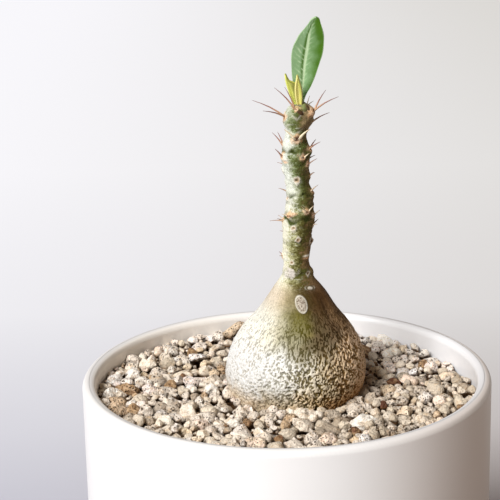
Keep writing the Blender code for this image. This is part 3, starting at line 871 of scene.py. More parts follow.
def stem_relief(height, angles, radius, ragged=0.0):
    """Relief in mm, wool, scar ring and pit of a ring of the stem. Ragged values break up the round marks."""
    relief, wool, ring, pit = (np.zeros(len(angles)) for _ in range(4))
    for middle, turn, kind, rise, size in mounds:
        if abs(height - middle) > 4.0:
            continue
        around, up = round_the_stem(angles, turn, radius), height - middle
        away = np.hypot(around, up) / size
        relief = np.maximum(relief, rise * bell(away, 1.35))
        away = away * (1.0 + ragged)
        if kind == "wool":
            wool = np.maximum(wool, bell(away, 0.85, 4))
            pit = np.maximum(pit, bell(away, 0.36, 4))
        elif kind == "ledge":
            ring = np.maximum(ring, bell(np.hypot(around / 0.95, up / 0.32), 1.0, 4))
            wool = np.maximum(wool, bell(np.hypot(around / 0.8, (up + 0.6) / 0.3), 1.0, 4))
        else:
            ring = np.maximum(ring, 0.85 * bell(away - 0.70, 0.24))
            wool = np.maximum(wool, 0.6 * bell(away - 0.42, 0.16))
            pit = np.maximum(pit, 0.8 * bell(away, 0.36, 4))
    for middle, turn, rise, size in KNOBS:
        around = round_the_stem(angles, math.radians(turn), radius)
        relief = relief + rise * bell(np.hypot(around, height - middle), size, 3)
    for middle, turn, wide, tall in FELT:
        around = round_the_stem(angles, math.radians(turn), radius)
        felt = bell(np.hypot(around / wide, (height - middle) / tall) * (1.0 + ragged), 1.0, 4)
        wool, relief = np.maximum(wool, felt), relief + 0.15 * felt
    middle, turn, size = HOLLOW
    hollow = bell(np.hypot(round_the_stem(angles, math.radians(turn), radius), height - middle), size, 4)
    pit, relief = np.maximum(pit, hollow), relief - 0.3 * hollow
    for turn, foot, left_rise, right_rise in SEAMS:
        around = round_the_stem(angles, math.radians(turn), radius)
        off = height - foot - np.where(around < 0, left_rise, right_rise) * np.abs(around)
        ends = np.clip((SEAM_REACH - np.abs(around)) / 1.6, 0.0, 1.0)
        seam = bell(off, 0.36) * ends * (1.0 + 0.8 * ragged)
        ring = np.maximum(ring, 0.42 * seam * (1.0 - wool) * (1.0 - pit))
        cushion = np.clip(1.0 - np.abs(off - 0.9) / 0.9, 0.0, 1.0) * (np.abs(around) < SEAM_REACH)
        relief = relief + 0.22 * cushion
    return relief + 0.14 * ring - 0.24 * pit, wool, ring, pit


def leaf_scar(scar, height, angles, radius, healed):
    """The raised rim, the speckled plate and the dark line between them. A healed scar keeps its core."""
    middle, turn, wide, tall, tilt = scar
    around, up = round_the_stem(angles, turn, radius), height - middle
    across = around * math.cos(tilt) + up * math.sin(tilt)
    along = up * math.cos(tilt) - around * math.sin(tilt)
    out = np.hypot(across / wide, along / tall)
    rim = bell(out - 0.97, 0.09)
    if healed:
        core = 1.0 / (1.0 + np.exp((out - 0.52) * 20))
        return np.maximum(0.8 * core, 0.6 * rim * (across / wide) ** 4), 0.0 * out, bell(out - 0.8, 0.13)
    line = bell(out - 0.83, 0.05) + 0.7 * bell(out - 1.13, 0.07)
    return rim, 1.0 / (1.0 + np.exp((out - 0.82) * 24)), line


# %% [markdown]
# The rings are close together where relief is fine and wider apart on the root, which no one sees. Where
# the number of points in a ring doubles or halves, triangles join the two rings.

# %% Rings of the skin
ROOT_END = -46.0
TIP = 67.9
BANDS = ((-9.0, 120, 2.2), (-6.5, 240, 1.0), (18.6, 480, 0.24), (24.0, 240, 0.24), (TIP, 120, 0.235))


def ring_plan():
    """Heights of the rings, how many points each has, and the stretched length along the skin."""
    plan = []
    height, along = ROOT_END, 0.0
    while height < TIP:
        sides, step = next((sides, step) for top, sides, step in BANDS if height < top)
        plan.append((height, sides, along))
        slope = (plant_radius(height + 0.05) - plant_radius(height - 0.05)) / 0.1
        height += step / math.hypot(1.0, slope)
        along += step / (1.15 + 0.9 * step_between(3.5, 13.0, height))
    plan.append((TIP, BANDS[-1][1], along))
    return plan


def join_rings(low, high):
    """Faces between two rings of points, which may differ by a factor of two."""
    n, m = len(low), len(high)
    faces = []
    if n == m:
        for i in range(n):
            j = (i + 1) % n
            faces.append((low[i], low[j], high[j], high[i]))
    elif n == 2 * m:
        for i in range(m):
            j, a = (i + 1) % m, 2 * i
            b, c = a + 1, (a + 2) % n
            faces += [(low[a], low[b], high[i]), (low[b], high[j], high[i]), (low[b], low[c], high[j])]
    else:
        for i in range(n):
            j, a = (i + 1) % n, 2 * i
            b, c = a + 1, (a + 2) % m
            faces += [(low[i], high[b], high[a]), (low[i], low[j], high[b]), (low[j], high[c], high[b])]
    return faces


# %% [markdown]
# Each ring is pushed in and out by the relief of its place. What the finish has to know, such as where
# cork, wool or a groove lies, is stored with the points.

# %% Skin of the base
def base_ring(height, angles, along):
    """Relief and stored values of a ring of the base."""
    fade = 1.0 - step_between(20.0, 24.0, height)
    rows = np.array([belly_point(height, angle, along) for angle in angles])
    relief = fade * rows[:, 0]
    rim, plate, line = (np.zeros(len(angles)) for _ in range(3))
    if 14.0 < height < 26.0:
        for scar, healed in ((OVAL_SCAR, False), (FLAT_SCAR, True)):
            marks = leaf_scar(scar, height, angles, plant_radius(height), healed)
            rim, plate, line = (np.maximum(old, new) for old, new in zip((rim, plate, line), marks))
        relief = relief + 0.22 * rim + 0.06 * plate
    found = {"net": rows[:, 1], "amount": rows[:, 2], "corky": rows[:, 3]}
    return relief, {**found, "rim": rim, "plate": plate, "groove": 0.9 * line}


# %% Skin of the stem
STEM = 3.2
# The middle of a pale scurfy patch, low on the stem.
SCURF_PLACE = (-1.55, -2.8, 27.0)


def stem_ring(height, angles):
    """Relief and stored values of a ring of the stem."""
    around = [Vector((STEM * math.cos(angle), STEM * math.sin(angle), height)) for angle in angles]
    ragged = np.array([0.55 * noise.noise(place * 1.3) for place in around])
    relief, wool, ring, pit = stem_relief(height, angles, plant_radius(height), ragged)
    fade = step_between(23.0, 26.0, height) * (1.0 - step_between(66.8, 67.6, height))
    groove, stain_and_shade, scurf = (np.zeros(len(angles)) for _ in range(3))
    for i, place in enumerate(around):
        for middle, depth, width in GROOVES:
            off = height - middle + 1.3 * noise.noise(place * 0.33 + Vector((0.0, 0.0, middle)))
            if abs(off) < 6 * width:
                depth *= 1.0 + 1.2 * noise.noise(place * 0.7)
                groove[i] = max(groove[i], depth / 0.3 * math.exp(-((off / width) ** 2)))
                # A band above each groove gets painted shade, where the segment above overhangs it.
                above = (off - 1.4 * width) / (2.2 * width)
                stain_and_shade[i] = max(stain_and_shade[i], 0.7 * depth / 0.3 * math.exp(-(above**2)))
        x, y, z = place - Vector(SCURF_PLACE)
        patch = math.exp(-((math.hypot(x, 0.6 * y, 1.1 * z) / 1.9) ** 2))
        scurf[i] = patch - 0.42 + 0.45 * noise.noise(place * 0.9) + 0.3 * noise.noise(place * 2.1)
        wrinkle = noise.noise(Vector((place.x * 0.5, place.y * 0.5, place.z * 1.5)))
        rough = 0.16 * noise.noise(place * 0.6) + 0.07 * noise.noise(place * 1.9) + 0.06 * wrinkle
        relief[i] += fade * (rough - 0.3 * groove[i])
    scurf *= fade
    found = {"wool": wool, "rim": ring, "pit": pit, "groove": np.maximum(groove, stain_and_shade), "scurf": scurf}
    return relief, found


# %% [markdown]
# Both kinds of ring are worked out where the base turns into the stem, and added. Then faces join each
# ring to the next, and two flat ones close the ends.

# %% Plant skin
VALUE_NAMES = ("net", "amount", "corky", "rim", "plate", "wool", "pit", "groove", "scurf", "side")
points, faces, rings = [], [], []
values = {name: [] for name in VALUE_NAMES}
for height, sides, along in ring_plan():
    angles = np.arange(sides) * 2 * math.pi / sides
    base_relief, base_values = base_ring(height, angles, along) if height < 26.0 else (0.0, {})
    relief, found = stem_ring(height, angles) if height > 22.0 else (0.0, {})
    for name, column in base_values.items():
        found[name] = np.maximum(found.get(name, -9.0), column)
    # How far round towards the light a point lies, for the painted light and shade of the finish.
    found["side"] = 0.5 - 0.5 * np.cos(angles + math.radians(8))
    reach = plant_radius(height) + relief + base_relief
    start = len(points)
    points += [
        (plant_lean(height) + r * math.cos(angle), PLANT_Y + r * math.sin(angle), LIP_PLANE + height)
        for r, angle in zip(reach, angles)
    ]
    for name in VALUE_NAMES:
        values[name] += list(found[name]) if name in found else [0.0] * sides
    rings.append(list(range(start, start + sides)))
for low, high in zip(rings, rings[1:]):
    faces += join_rings(low, high)
faces += [tuple(reversed(rings[0])), tuple(rings[-1])]
skin = add_mesh_piece("plant_skin", points, faces, values)
print("rings:", len(rings), "skin points:", len(points))

# %% [markdown]
# ## Skin finish
# The neck of the base is smooth: cream where it faces the light and the sun also bleached it, tan in
# front and brown away from the light, so its colour is partly its own and partly painted light and shade;
# its right edge is painted a little lighter, as bounced light. There is an olive patch low down in front.
# Cork turns from near white to brown the same way round, and the gaps of its net from grey-green to dark
# brown, with the same painted light and shade. The stored values say where each finish lies, and fine
# noise breaks up their edges.

# %% Finish of the base
OLIVE_PLACE = (2.8, PLANT_Y - 10.5, LIP_PLANE + 15.8)
OLIVE_SPREAD = (0.27, 0.16, 0.25)

bark = Finish("caudex_skin", 0.75, 0.15)
height_mm = bark.parts(bark.place)[2] - LIP_PLANE
wobble = bark.noise(0.25, 3.0)
speck = bark.noise(2.6, 3.0, 0.6)
in_groove = bark.stored("groove")
# How far round towards the light a point lies: the ramps below paint light and shade by it.
side = bark.stored("side") + 0.34 * wobble - 0.17
neck_skin = bark.ramp(
    side,
    (0.0, 0.16, 0.09, 0.035), (0.10, 0.075, 0.038, 0.011), (0.23, 0.060, 0.038, 0.009),
    (0.33, 0.070, 0.050, 0.009), (0.40, 0.11, 0.088, 0.024), (0.46, 0.15, 0.13, 0.052),
    (0.58, 0.27, 0.25, 0.14), (0.66, 0.40, 0.37, 0.25), (0.75, 0.55, 0.52, 0.41), (1.0, 0.63, 0.62, 0.55),
)
neck_skin = bark.mix(0.65 * height_mm.step(16.5, 21.5), neck_skin, (0.90, 0.74, 0.60), "MULTIPLY")
off_olive = bark.node("VectorMath", {0: bark.place, 1: OLIVE_PLACE}, operation="SUBTRACT").outputs[0]
off_olive = bark.node("VectorMath", {0: bark.stretched(off_olive, OLIVE_SPREAD)}, operation="LENGTH")
olive = (Value(bark, off_olive.outputs["Value"]) + 1.2 * wobble - 0.6).step(1.2, 0.3)
neck_skin = bark.mix(0.9 * olive, neck_skin, (0.115, 0.10, 0.010))
gap_skin = bark.ramp(
    side,
    (0.0, 0.36, 0.20, 0.07), (0.12, 0.25, 0.145, 0.048), (0.30, 0.165, 0.12, 0.036),
    (0.43, 0.26, 0.23, 0.135), (0.55, 0.43, 0.415, 0.35), (0.70, 0.49, 0.475, 0.42), (1.0, 0.50, 0.46, 0.40),
)
cork_skin = bark.ramp(
    side,
    (0.0, 0.86, 0.63, 0.42), (0.12, 0.74, 0.56, 0.36), (0.25, 0.63, 0.53, 0.36), (0.36, 0.74, 0.68, 0.55),
    (0.46, 0.78, 0.76, 0.70), (0.58, 0.76, 0.755, 0.725), (0.75, 0.70, 0.695, 0.675),
)

# %% [markdown]
# The net's ridges take the cork's colour and its gaps the gap's, and both fade into the smooth skin of the
# neck. Painted shade darkens the deeper gaps, and the neck gets a darker copy of its colour in the gaps
# and a lighter one on the ridges. Painted shade darkens the foot of the base under the belly, and the foot
# is browner where it meets the grit.

# %% Net and foot of the base
net = bark.stored("net") + 0.44 * speck - 0.22
corky = bark.stored("corky")
# Painted shade: the deeper a gap, the darker.
gap_skin = bark.scaled(gap_skin, 0.33 * net.step(-0.40, -0.05) + 0.70)
# Painted shade and light: a darker copy of the neck's colour for its gaps, a lighter one for its ridges.
shaded_neck_gap = bark.scaled(neck_skin, 0.66)
lit_neck_ridge = bark.mix(0.12, bark.scaled(neck_skin, 1.3), cork_skin)
gaps, ridges = bark.mix(corky, shaded_neck_gap, gap_skin), bark.mix(corky, lit_neck_ridge, cork_skin)
netted = bark.mix(net.step(-0.09, 0.08), gaps, ridges)
base_colour = bark.mix(bark.stored("amount"), neck_skin, netted)
base_colour = bark.mix(0.75 * in_groove, base_colour, (0.07, 0.05, 0.02))
# Painted shade low on the front of the base, under the belly.
lower = (height_mm + 5.0 * wobble - 2.5).step(6.5, -2.0) * side.step(0.36, 0.54)
lower = lower * (1.0 - 0.85 * side.step(0.62, 0.82))
base_colour = bark.mix(lower, base_colour, (0.70, 0.68, 0.62), "MULTIPLY")
# Browner towards the grit.
browner_at_grit = (height_mm + 6.0 * wobble - 3.0).step(2.5, -3.5)
base_colour = bark.mix(0.6 * browner_at_grit, base_colour, (0.80, 0.54, 0.24), "MULTIPLY")

# %% [markdown]
# The stem is pale where it faces the light and the sun also bleached it, grey-green in front and
# olive-brown away from the light, so its colour is partly its own and partly painted light and shade, with
# a little painted bounced light at its right edge. It is mottled all over, less so where it is young. Its
# tip is greener. Wool round the spines is tan, and their pits are dark brown.

# %% Finish of the stem
mottle = bark.noise(1.0, 4.0, 0.7)
scaly = bark.noise(1.0, 3.0, 0.7, bark.stretched(bark.place, (0.9, 0.9, 2.3)))
streaky = bark.noise(1.0, 3.0, 0.6, bark.stretched(bark.place, (0.45, 0.45, 1.7)))
bloom = height_mm.step(44.5, 46.5) * height_mm.step(52.5, 49.5)
skirt = height_mm.step(57.0, 57.7) * height_mm.step(60.2, 59.2)
tip_part = height_mm.step(61.0, 63.0)
foot_part = height_mm.step(37.0, 33.0)
mottling = 0.9 * mottle + 0.5 * scaly + 0.55 * speck - 0.96
mottling = mottling * (1.0 - 0.6 * bloom - 0.55 * tip_part) * (1.0 - 0.5 * side.step(0.55, 0.80))
stem_side = side + mottling + 0.08 * bloom + 0.16 * skirt - 0.22 * tip_part - 0.10 * foot_part
low_stem = bark.ramp(
    stem_side,
    (0.0, 0.21, 0.135, 0.06), (0.10, 0.125, 0.09, 0.028), (0.20, 0.082, 0.067, 0.012),
    (0.30, 0.095, 0.086, 0.017), (0.43, 0.17, 0.16, 0.055), (0.56, 0.31, 0.30, 0.14),
    (0.68, 0.52, 0.51, 0.33), (0.80, 0.70, 0.68, 0.54),
)
high_stem = bark.ramp(
    stem_side,
    (0.0, 0.24, 0.175, 0.085), (0.10, 0.125, 0.10, 0.034), (0.25, 0.082, 0.088, 0.018),
    (0.40, 0.10, 0.125, 0.035), (0.54, 0.21, 0.25, 0.115), (0.67, 0.42, 0.45, 0.34), (0.80, 0.66, 0.69, 0.60),
)
stem_colour = bark.mix(height_mm.step(36.0, 52.0), low_stem, high_stem)
streaks = 0.5 * streaky.step(0.54, 0.70) * side.step(0.15, 0.6)
stem_colour = bark.mix(streaks, stem_colour, (0.66, 0.68, 0.60))
# Painted shade in the grooves and in the band above each.
stem_colour = bark.mix(0.85 * in_groove, stem_colour, (0.055, 0.07, 0.012))
scurf = (bark.stored("scurf") + speck - 0.5).step(-0.15, 0.60)
stem_colour = bark.mix(0.75 * scurf, stem_colour, (0.62, 0.57, 0.54))

# %% [markdown]
# Base and stem fade into each other at the neck. Leaf scars, pale rims, wool and pits lie over both, and a
# fine grain covers everything.

# %% Finish of the whole plant
plate_tone = bark.mix(speck.step(0.40, 0.58), (0.24, 0.19, 0.14), (0.47, 0.42, 0.34))
wool_tone = bark.mix(mottle.step(0.40, 0.58), (0.74, 0.44, 0.23), (0.82, 0.60, 0.41))
rim_tone, pit_tone = (0.74, 0.70, 0.60), (0.12, 0.06, 0.035)
skin_colour = bark.mix(height_mm.step(22.0, 26.0), base_colour, stem_colour)
for name, tone in (("plate", plate_tone), ("rim", rim_tone), ("wool", wool_tone), ("pit", pit_tone)):
    skin_colour = bark.mix(bark.stored(name), skin_colour, tone)
skin_colour = bark.scaled(skin_colour, 1.2 * speck + 0.4)
bark.cover(skin_colour, 0.5 * scaly + speck, 0.12 * MM)
finish_piece(skin, bark, "plant_skin", "plant")

# %% [markdown]
# ## Spines
# Spines grow in pairs. They are stiff needles, tan and woolly at the foot and dark red-brown at the tip.
# One needle is modelled: a slim cone with three cuts, so that it can bend. Its copies are stretched, bent
# and turned to their places, each pair straddling its tubercle.

# %% One needle
bpy.ops.object.select_all(action="DESELECT")
bpy.ops.mesh.primitive_cone_add(vertices=8, radius1=1.0, radius2=0.16, depth=1.0, location=(0.0, 0.0, 0.5))
needle = bpy.context.object
bpy.ops.object.transform_apply(location=True, rotation=True, scale=True)
bpy.ops.object.mode_set(mode="EDIT")
for cut in (0.25, 0.5, 0.75):
    bpy.ops.mesh.select_all(action="SELECT")
    bpy.ops.mesh.bisect(plane_co=(0.0, 0.0, cut), plane_no=(0.0, 0.0, 1.0))
bpy.ops.object.mode_set(mode="OBJECT")
needle_points = np.array([vert.co for vert in needle.data.vertices])
needle_faces = [tuple(face.vertices) for face in needle.data.polygons]
bpy.data.objects.remove(needle, do_unlink=True)
print("needle faces:", len(needle_faces))

# %% [markdown]
# A copy is first given its thickness and length, then bent, and then turned from straight up to the way
# that its spine points. How far a point lies along its spine is stored for the colour.

# %% All spines
FOOT_DEPTH = 0.55


def surface_point(height, turn):
    """Where the stem's surface is, in mm."""
    radius = plant_radius(height)
    reach = radius + stem_relief(height, np.array([turn]), radius)[0][0]
    x, y = plant_lean(height) + reach * math.cos(turn), PLANT_Y + reach * math.sin(turn)
    return Vector((x, y, LIP_PLANE + height))


def spine_from(height, turn, tip, thickness):
    """The points of a spine on the stem at a height and a turn, whose tip is that far from its foot."""
    outward = Vector((math.cos(turn), math.sin(turn), 0.0))
    sideways = Vector((-outward.y, outward.x, 0.0))
    along = Vector(tip)
    apart = math.copysign(0.85 if thickness > 0.35 else 0.5, along.dot(sideways))
    foot = surface_point(height, turn) + sideways * apart - FOOT_DEPTH * along.normalized()
    whole = along.length + FOOT_DEPTH
    shape = needle_points * (thickness, thickness, whole)
    shape[:, 1] += 0.05 * whole * np.sin(np.pi * needle_points[:, 2])
    turned = np.array(along.to_track_quat("Z", "Y").to_matrix())
    return shape @ turned.T + np.array(foot)


draw = random.Random(21)
spines = [
    (height, math.radians(angle), tip, thickness, pale)
    for height, angle, thickness, pale, tips in CROWN
    for tip in tips
]
spines.append((39.4, math.radians(178.0), (-2.9, 0.0, 0.1), 0.2, 0.2))
for height, angle in WORN_PAIRS:
    for spread in (-38, 44):
        length = 0.034 * height * draw.uniform(0.75, 1.25)
        way = math.radians(angle + spread + draw.uniform(-10, 10))
        rise = draw.uniform(0.3, 0.75)
        tip = (length * math.cos(way), length * math.sin(way), rise * length)
        spines.append((height, math.radians(angle), tip, 0.22, draw.uniform(0.0, 0.7)))
points, faces, along_values, pale_values = [], [], [], []
for height, turn, tip, thickness, pale in spines:
    start = len(points)
    points += spine_from(height, turn, tip, thickness).tolist()
    faces += [tuple(start + i for i in face) for face in needle_faces]
    along_values += needle_points[:, 2].tolist()
    pale_values += [pale] * len(needle_points)
needles = add_mesh_piece("spines", points, faces, {"along": along_values, "pale": pale_values})
print("spines:", len(spines))

# %% [markdown]
# Most spines are brown and darken towards the tip. The youngest and a few in front are the colour of straw.

# %% Spine finish
thorn = Finish("spine_finish", 0.5)
thorn_along = thorn.stored("along") + 0.3 * thorn.noise(1.2) - 0.15
brown_thorn = thorn.ramp(
    thorn_along,
    (0.0, 0.66, 0.46, 0.27), (0.25, 0.52, 0.30, 0.18), (0.55, 0.32, 0.14, 0.10), (1.0, 0.16, 0.06, 0.05),
)
pale_thorn = thorn.ramp(
    thorn_along, (0.0, 0.92, 0.82, 0.60), (0.75, 0.86, 0.74, 0.50), (1.0, 0.40, 0.24, 0.15)
)
thorn.cover(thorn.mix(thorn.stored("pale"), brown_thorn, pale_thorn))
finish_piece(needles, thorn, "plant_skin")

# %% [markdown]
# ## Bud scales
# Small dry scales and a green cushion close the tip of the stem round the feet of the leaves. Each is a
# ball that is stretched, tipped over and pushed a little way into the stem; then all are joined.

# %% Scales at the tip
# Each as place, half sizes, lean to the right and tone: 0 is dark brown, 0.5 green and 1 tan.
SCALES = (
    ((5.25, 0.55, 67.0), (0.95, 0.9, 1.3), 20, 0.5), ((5.95, 0.45, 67.35), (0.38, 0.7, 1.0), -32, 0.15),
    ((3.35, 0.4, 67.2), (0.95, 0.45, 0.6), 0, 1.0), ((4.25, -0.5, 66.3), (0.8, 0.42, 0.5), 30, 0.0),
    ((2.75, 1.3, 67.2), (0.45, 0.5, 0.8), -30, 0.9), ((4.35, 0.15, 67.1), (0.5, 0.4, 0.5), 10, 0.8),
    ((3.4, 3.6, 67.3), (0.6, 0.5, 0.9), -15, 0.85), ((5.2, 3.7, 67.2), (0.6, 0.5, 0.9), 20, 0.5),
)
scale_parts = []
for place, half, lean, tone in SCALES:
    bpy.ops.object.select_all(action="DESELECT")
    bpy.ops.mesh.primitive_uv_sphere_add(
        segments=14,
        ring_count=9,
        location=(place[0] * MM, place[1] * MM, (LIP_PLANE + place[2]) * MM),
        rotation=(0.0, math.radians(lean), 0.0),
        scale=[value * MM for value in half],
    )
    scale_part = bpy.context.object
    store(scale_part, "tone", [tone] * len(scale_part.data.vertices))
    scale_parts.append(scale_part)
take_up(scale_parts[0])
for scale_part in scale_parts:
    scale_part.select_set(True)
bpy.ops.object.join()
bpy.ops.object.transform_apply(location=True, rotation=True, scale=True)
bpy.ops.object.shade_smooth()
scales = bpy.context.object
scales.name = "bud_scales"

husk = Finish("bud_scale_finish", 0.7, 0.15)
husk_tone = husk.stored("tone") + 0.5 * husk.noise(1.3, 3.0) - 0.25
husk_colour = husk.ramp(
    husk_tone,
    (0.0, 0.07, 0.035, 0.015), (0.3, 0.16, 0.11, 0.05), (0.5, 0.15, 0.18, 0.06),
    (0.72, 0.30, 0.27, 0.11), (1.0, 0.55, 0.40, 0.20),
)
husk.cover(husk_colour, husk_tone, 0.15 * MM)
finish_piece(scales, husk, "plant_skin")

# %% [markdown]
# ## Leaves
# A leaf is a thin blade, folded a little along its midrib. A flat grid is shaped into the blade: each row
# of points is as wide as the leaf there, and its two halves differ, as on the real leaf. The grid's own UV
# map runs across and along the blade, so veins drawn in it follow the leaf. Solidify then gives it its
# thickness.

# %% Blades
# The mature leaf's half widths along the blade, left and right of its rib, and where the rib runs.
LEAF_LEFT = smooth_curve((
    (0.0, 0.35), (0.07, 0.6), (0.135, 1.4), (0.24, 2.3), (0.31, 2.67), (0.46, 3.12), (0.59, 3.46),
    (0.65, 3.42), (0.70, 3.15), (0.75, 2.72), (0.80, 2.3), (0.865, 1.5), (0.93, 0.95), (0.975, 0.72),
    (0.993, 0.4), (1.0, 0.06),
))
LEAF_RIGHT = smooth_curve((
    (0.0, 0.35), (0.07, 0.52), (0.135, 1.05), (0.185, 1.6), (0.24, 2.1), (0.31, 2.58), (0.46, 3.44),
    (0.59, 3.84), (0.69, 3.76), (0.80, 3.4), (0.865, 2.75), (0.93, 1.85), (0.975, 1.05), (0.993, 0.5),
    (1.0, 0.06),
))
LEAF_RIB = smooth_curve((
    (0.0, 4.75), (0.12, 4.95), (0.243, 5.21), (0.457, 5.60), (0.669, 6.32), (0.838, 6.91), (0.953, 7.82),
    (1.0, 8.4),
))
LEAF_FOOT_Y = 3.3
LEAF_FOOT = 67.3
LEAF_RISE = 20.91
# The young leaves' half widths along the blade. The left one's shaded half is broad and ends early.
YOUNG_NARROW = smooth_curve(((0.0, 0.45), (0.3, 0.55), (0.6, 0.55), (0.85, 0.35), (1.0, 0.06)))
YOUNG_BROAD = smooth_curve((
    (0.0, 0.45), (0.3, 0.6), (0.5, 0.95), (0.68, 1.45), (0.75, 1.5), (0.785, 0.5), (0.83, 0.3), (1.0, 0.06),
))
YOUNG_TAPERED = smooth_curve(((0.0, 0.45), (0.3, 0.75), (0.6, 0.72), (0.8, 0.42), (0.88, 0.26), (1.0, 0.06)))


def blade(name, rows, columns, shape, thickness):
    """A blade whose shape(across, t) gives each point in mm, with across from -1 to 1 and t from 0 to 1."""
    bpy.ops.object.select_all(action="DESELECT")
    bpy.ops.mesh.primitive_grid_add(x_subdivisions=columns, y_subdivisions=rows, size=2.0, calc_uvs=True)
    made = bpy.context.object
    made.name = name
    for vert in made.data.vertices:
        x, y, z = shape(vert.co.x, (vert.co.y + 1.0) / 2.0)
        vert.co = (x * MM, y * MM, (LIP_PLANE + z) * MM)
    solidify = made.modifiers.new("Solidify", "SOLIDIFY")
    solidify.thickness = thickness * MM
    solidify.offset = 0.0
    take_up(made)
    bpy.ops.object.modifier_apply(modifier="Solidify")
    bpy.ops.object.mode_set(mode="EDIT")
    bpy.ops.mesh.select_all(action="SELECT")
    bpy.ops.mesh.remove_doubles(threshold=0.02 * MM)
    bpy.ops.mesh.normals_make_consistent(inside=False)
    bpy.ops.object.mode_set(mode="OBJECT")
    bpy.ops.object.shade_smooth_by_angle(angle=math.radians(60))
    return made


def mature_shape(across, t):
    half = LEAF_LEFT(t) if across < 0 else LEAF_RIGHT(t)
    off = across * half
    ruffle = 0.10 * across**2 * math.sin(26.0 * t + 2.0 * across) * min(1.0, half)
    fold = 0.10 * abs(off) ** 1.2 - 0.18 * math.exp(-((off / 0.4) ** 2)) * (1.0 - t) ** 0.8
    y = LEAF_FOOT_Y + math.sin(math.pi * t) - 0.4 * t - fold + ruffle
    return LEAF_RIB(t) + off, y, LEAF_FOOT + LEAF_RISE * t


def young_shape(foot, tip, left_half, right_half):
    """A narrow blade, folded like a gutter that opens towards the viewer."""

    def shape(across, t):
        half = left_half(t) if across < 0 else right_half(t)
        x, y, z = (foot[i] + (tip[i] - foot[i]) * t for i in range(3))
        return x + across * half, y + 0.35 * math.sin(math.pi * t) - 0.6 * abs(across) ** 1.3 * half, z

    return shape


mature = blade("leaf", 72, 22, mature_shape, 0.5)
left_shape = young_shape((3.55, 2.2, 67.1), (0.95, 1.8, 75.15), YOUNG_NARROW, YOUNG_BROAD)
right_shape = young_shape((4.25, 1.6, 67.1), (3.75, 0.7, 75.0), YOUNG_TAPERED, YOUNG_TAPERED)
young_left = blade("leaf_young_left", 30, 10, left_shape, 0.45)
young_right = blade("leaf_young_right", 30, 10, right_shape, 0.45)

# %% [markdown]
# The blade is grey-green with a pale midrib, and faint side veins leave the midrib at a slant. Towards
# the right edge and the tip it is a deeper green, and a strip left of the midrib is painted darker, as the
# shade in the fold. In the UV map the midrib is the line u = 0.5, and a pattern that repeats along v
# minus the distance from the midrib draws the veins.

# %% Leaf finish
def leaf_finish(name, pale, deep, rib_colour, vein_strength):
    made = Finish(name, 0.42, 0.25)
    across, along, _ = made.parts(made.node("TexCoord").outputs["UV"])
    off_rib = made.math("ABSOLUTE", across - 0.5)
    rib = off_rib.step(0.085, 0.015) * along.step(0.93, 0.76)
    slant = 17.0 * along - 4.6 * off_rib + 1.1 * made.noise(0.35)
    vein = made.math("PINGPONG", slant, 0.5).step(0.30, 0.0) * across.step(0.75, 0.45)
    vein = vein * off_rib.step(0.5, 0.25) * made.noise(0.8).step(0.35, 0.65)
    beside_rib = made.math("ABSOLUTE", across - 0.41).step(0.11, 0.0) * along.step(0.1, 0.5)
    deepness = 1.25 * across + 0.5 * along + 0.7 * made.noise(0.45, 3.0) - 0.35
    colour = made.mix(deepness.step(0.72, 1.58), pale, deep)
    # Painted shade in the fold beside the midrib.
    colour = made.mix(1.2 * vein_strength * beside_rib, colour, deep)
    for share in (vein_strength * vein, 0.95 * rib, 0.4 * off_rib.step(0.47, 0.5)):
        colour = made.mix(share, colour, rib_colour)
    made.cover(colour, made.math("MAXIMUM", rib, 0.4 * vein), 0.08 * MM, 0.6)
    return made


green = leaf_finish("leaf_green", (0.25, 0.42, 0.20), (0.055, 0.15, 0.004), (0.54, 0.70, 0.42), 0.75)
# On this leaf the deep tone of the broad right half is partly painted shade inside its gutter.
yellow = leaf_finish("young_leaf_green", (0.78, 0.82, 0.20), (0.20, 0.20, 0.035), (0.60, 0.62, 0.10), 0.0)
cream = leaf_finish("young_leaf_cream", (0.74, 0.68, 0.20), (0.42, 0.44, 0.08), (0.80, 0.72, 0.34), 0.0)
finish_piece(mature, green, "mature_leaf", "mature_leaf")
finish_piece(young_left, yellow, "young_leaf", "young_leaf_left")
finish_piece(young_right, cream, "young_leaf", "young_leaf_right")

# %% [markdown]
# ## Floor and light
# The studio is a wide pale floor that fills the picture behind the pot. The photo's backdrop is graded by
# its light, and that grade is painted into the floor's paper: blue-white to grey from left to right, painted
# shade near and under the pot, and a little warmer beside it at the right, where it throws warm light on
# the glaze.

# %% Floor
FLOOR_SIDE = 14.0
FLOOR_MIDDLE = (0.0, 4.0, 0.0)

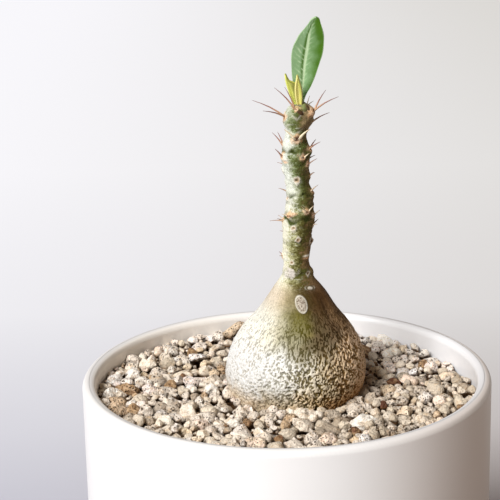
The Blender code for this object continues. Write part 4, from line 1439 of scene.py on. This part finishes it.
bpy.ops.object.select_all(action="DESELECT")
bpy.ops.mesh.primitive_plane_add(size=FLOOR_SIDE, location=FLOOR_MIDDLE)
floor = bpy.context.object
floor.name = "floor"
bpy.ops.object.transform_apply(location=True, rotation=True, scale=True)
paper = Finish("pale_paper", 0.95)
right, back, _ = paper.parts(paper.place)
# Painted light and shade: paler to the left and far off, darker to the right and near the pot.
near_tone = paper.mix(right.step(-100.0, 100.0), (0.52, 0.53, 0.61), (0.35, 0.31, 0.30))
warm_patch = right.step(110.0, 200.0) * right.step(460.0, 220.0)
warm_patch = warm_patch * back.step(-450.0, -50.0) * back.step(650.0, 250.0)
near_tone = paper.mix(warm_patch, near_tone, (0.33, 0.25, 0.195))
far_tone = paper.mix(right.step(-270.0, 350.0), (0.915, 0.94, 1.0), (0.675, 0.68, 0.665))
behind = paper.ramp(
    MM * back, (0.10, 0.0, 0.0, 0.0), (0.18, 0.38, 0.38, 0.38), (0.32, 0.82, 0.82, 0.82), (0.6, 1.0, 1.0, 1.0)
)
beside = paper.math("ABSOLUTE", right).step(320.0, 650.0)
far = paper.math("MAXIMUM", behind, paper.math("MAXIMUM", beside, back.step(-350.0, -800.0)))
paper.cover(paper.mix(far, near_tone, far_tone))
floor.data.materials.append(paper.material)

# %% [markdown]
# The light comes through one large window at the left, a little behind the viewer and about 40 degrees
# up. A sun with a wide angle gives the same soft shadows and lights the whole floor evenly. The room
# adds a little warm light from all sides.

# %% Lights
WINDOW_SIDE = math.radians(-42)
WINDOW_RISE = math.radians(40)
WINDOW_WIDTH = math.radians(28)
WINDOW_STRENGTH = 4.5
ROOM_TINT = (1.0, 0.80, 0.66, 1.0)
ROOM_STRENGTH = 0.14

bpy.ops.object.select_all(action="DESELECT")
bpy.ops.object.light_add(type="SUN", location=(-0.5, -0.5, 0.6))
window = bpy.context.object
window.name = "window_light"
window.data.energy = WINDOW_STRENGTH
window.data.angle = WINDOW_WIDTH
window.data.color = (1.0, 0.99, 0.985)
right, forward = math.sin(WINDOW_SIDE), math.cos(WINDOW_SIDE)
level = math.cos(WINDOW_RISE)
towards = Vector((right * level, -forward * level, math.sin(WINDOW_RISE)))
window.rotation_euler = towards.to_track_quat("Z", "Y").to_euler()

room = bpy.data.worlds.new("room")
bpy.context.scene.world = room
room.use_nodes = True
background = room.node_tree.nodes["Background"]
background.inputs["Color"].default_value = ROOM_TINT
background.inputs["Strength"].default_value = ROOM_STRENGTH
bpy.context.scene.view_settings.view_transform = "Standard"
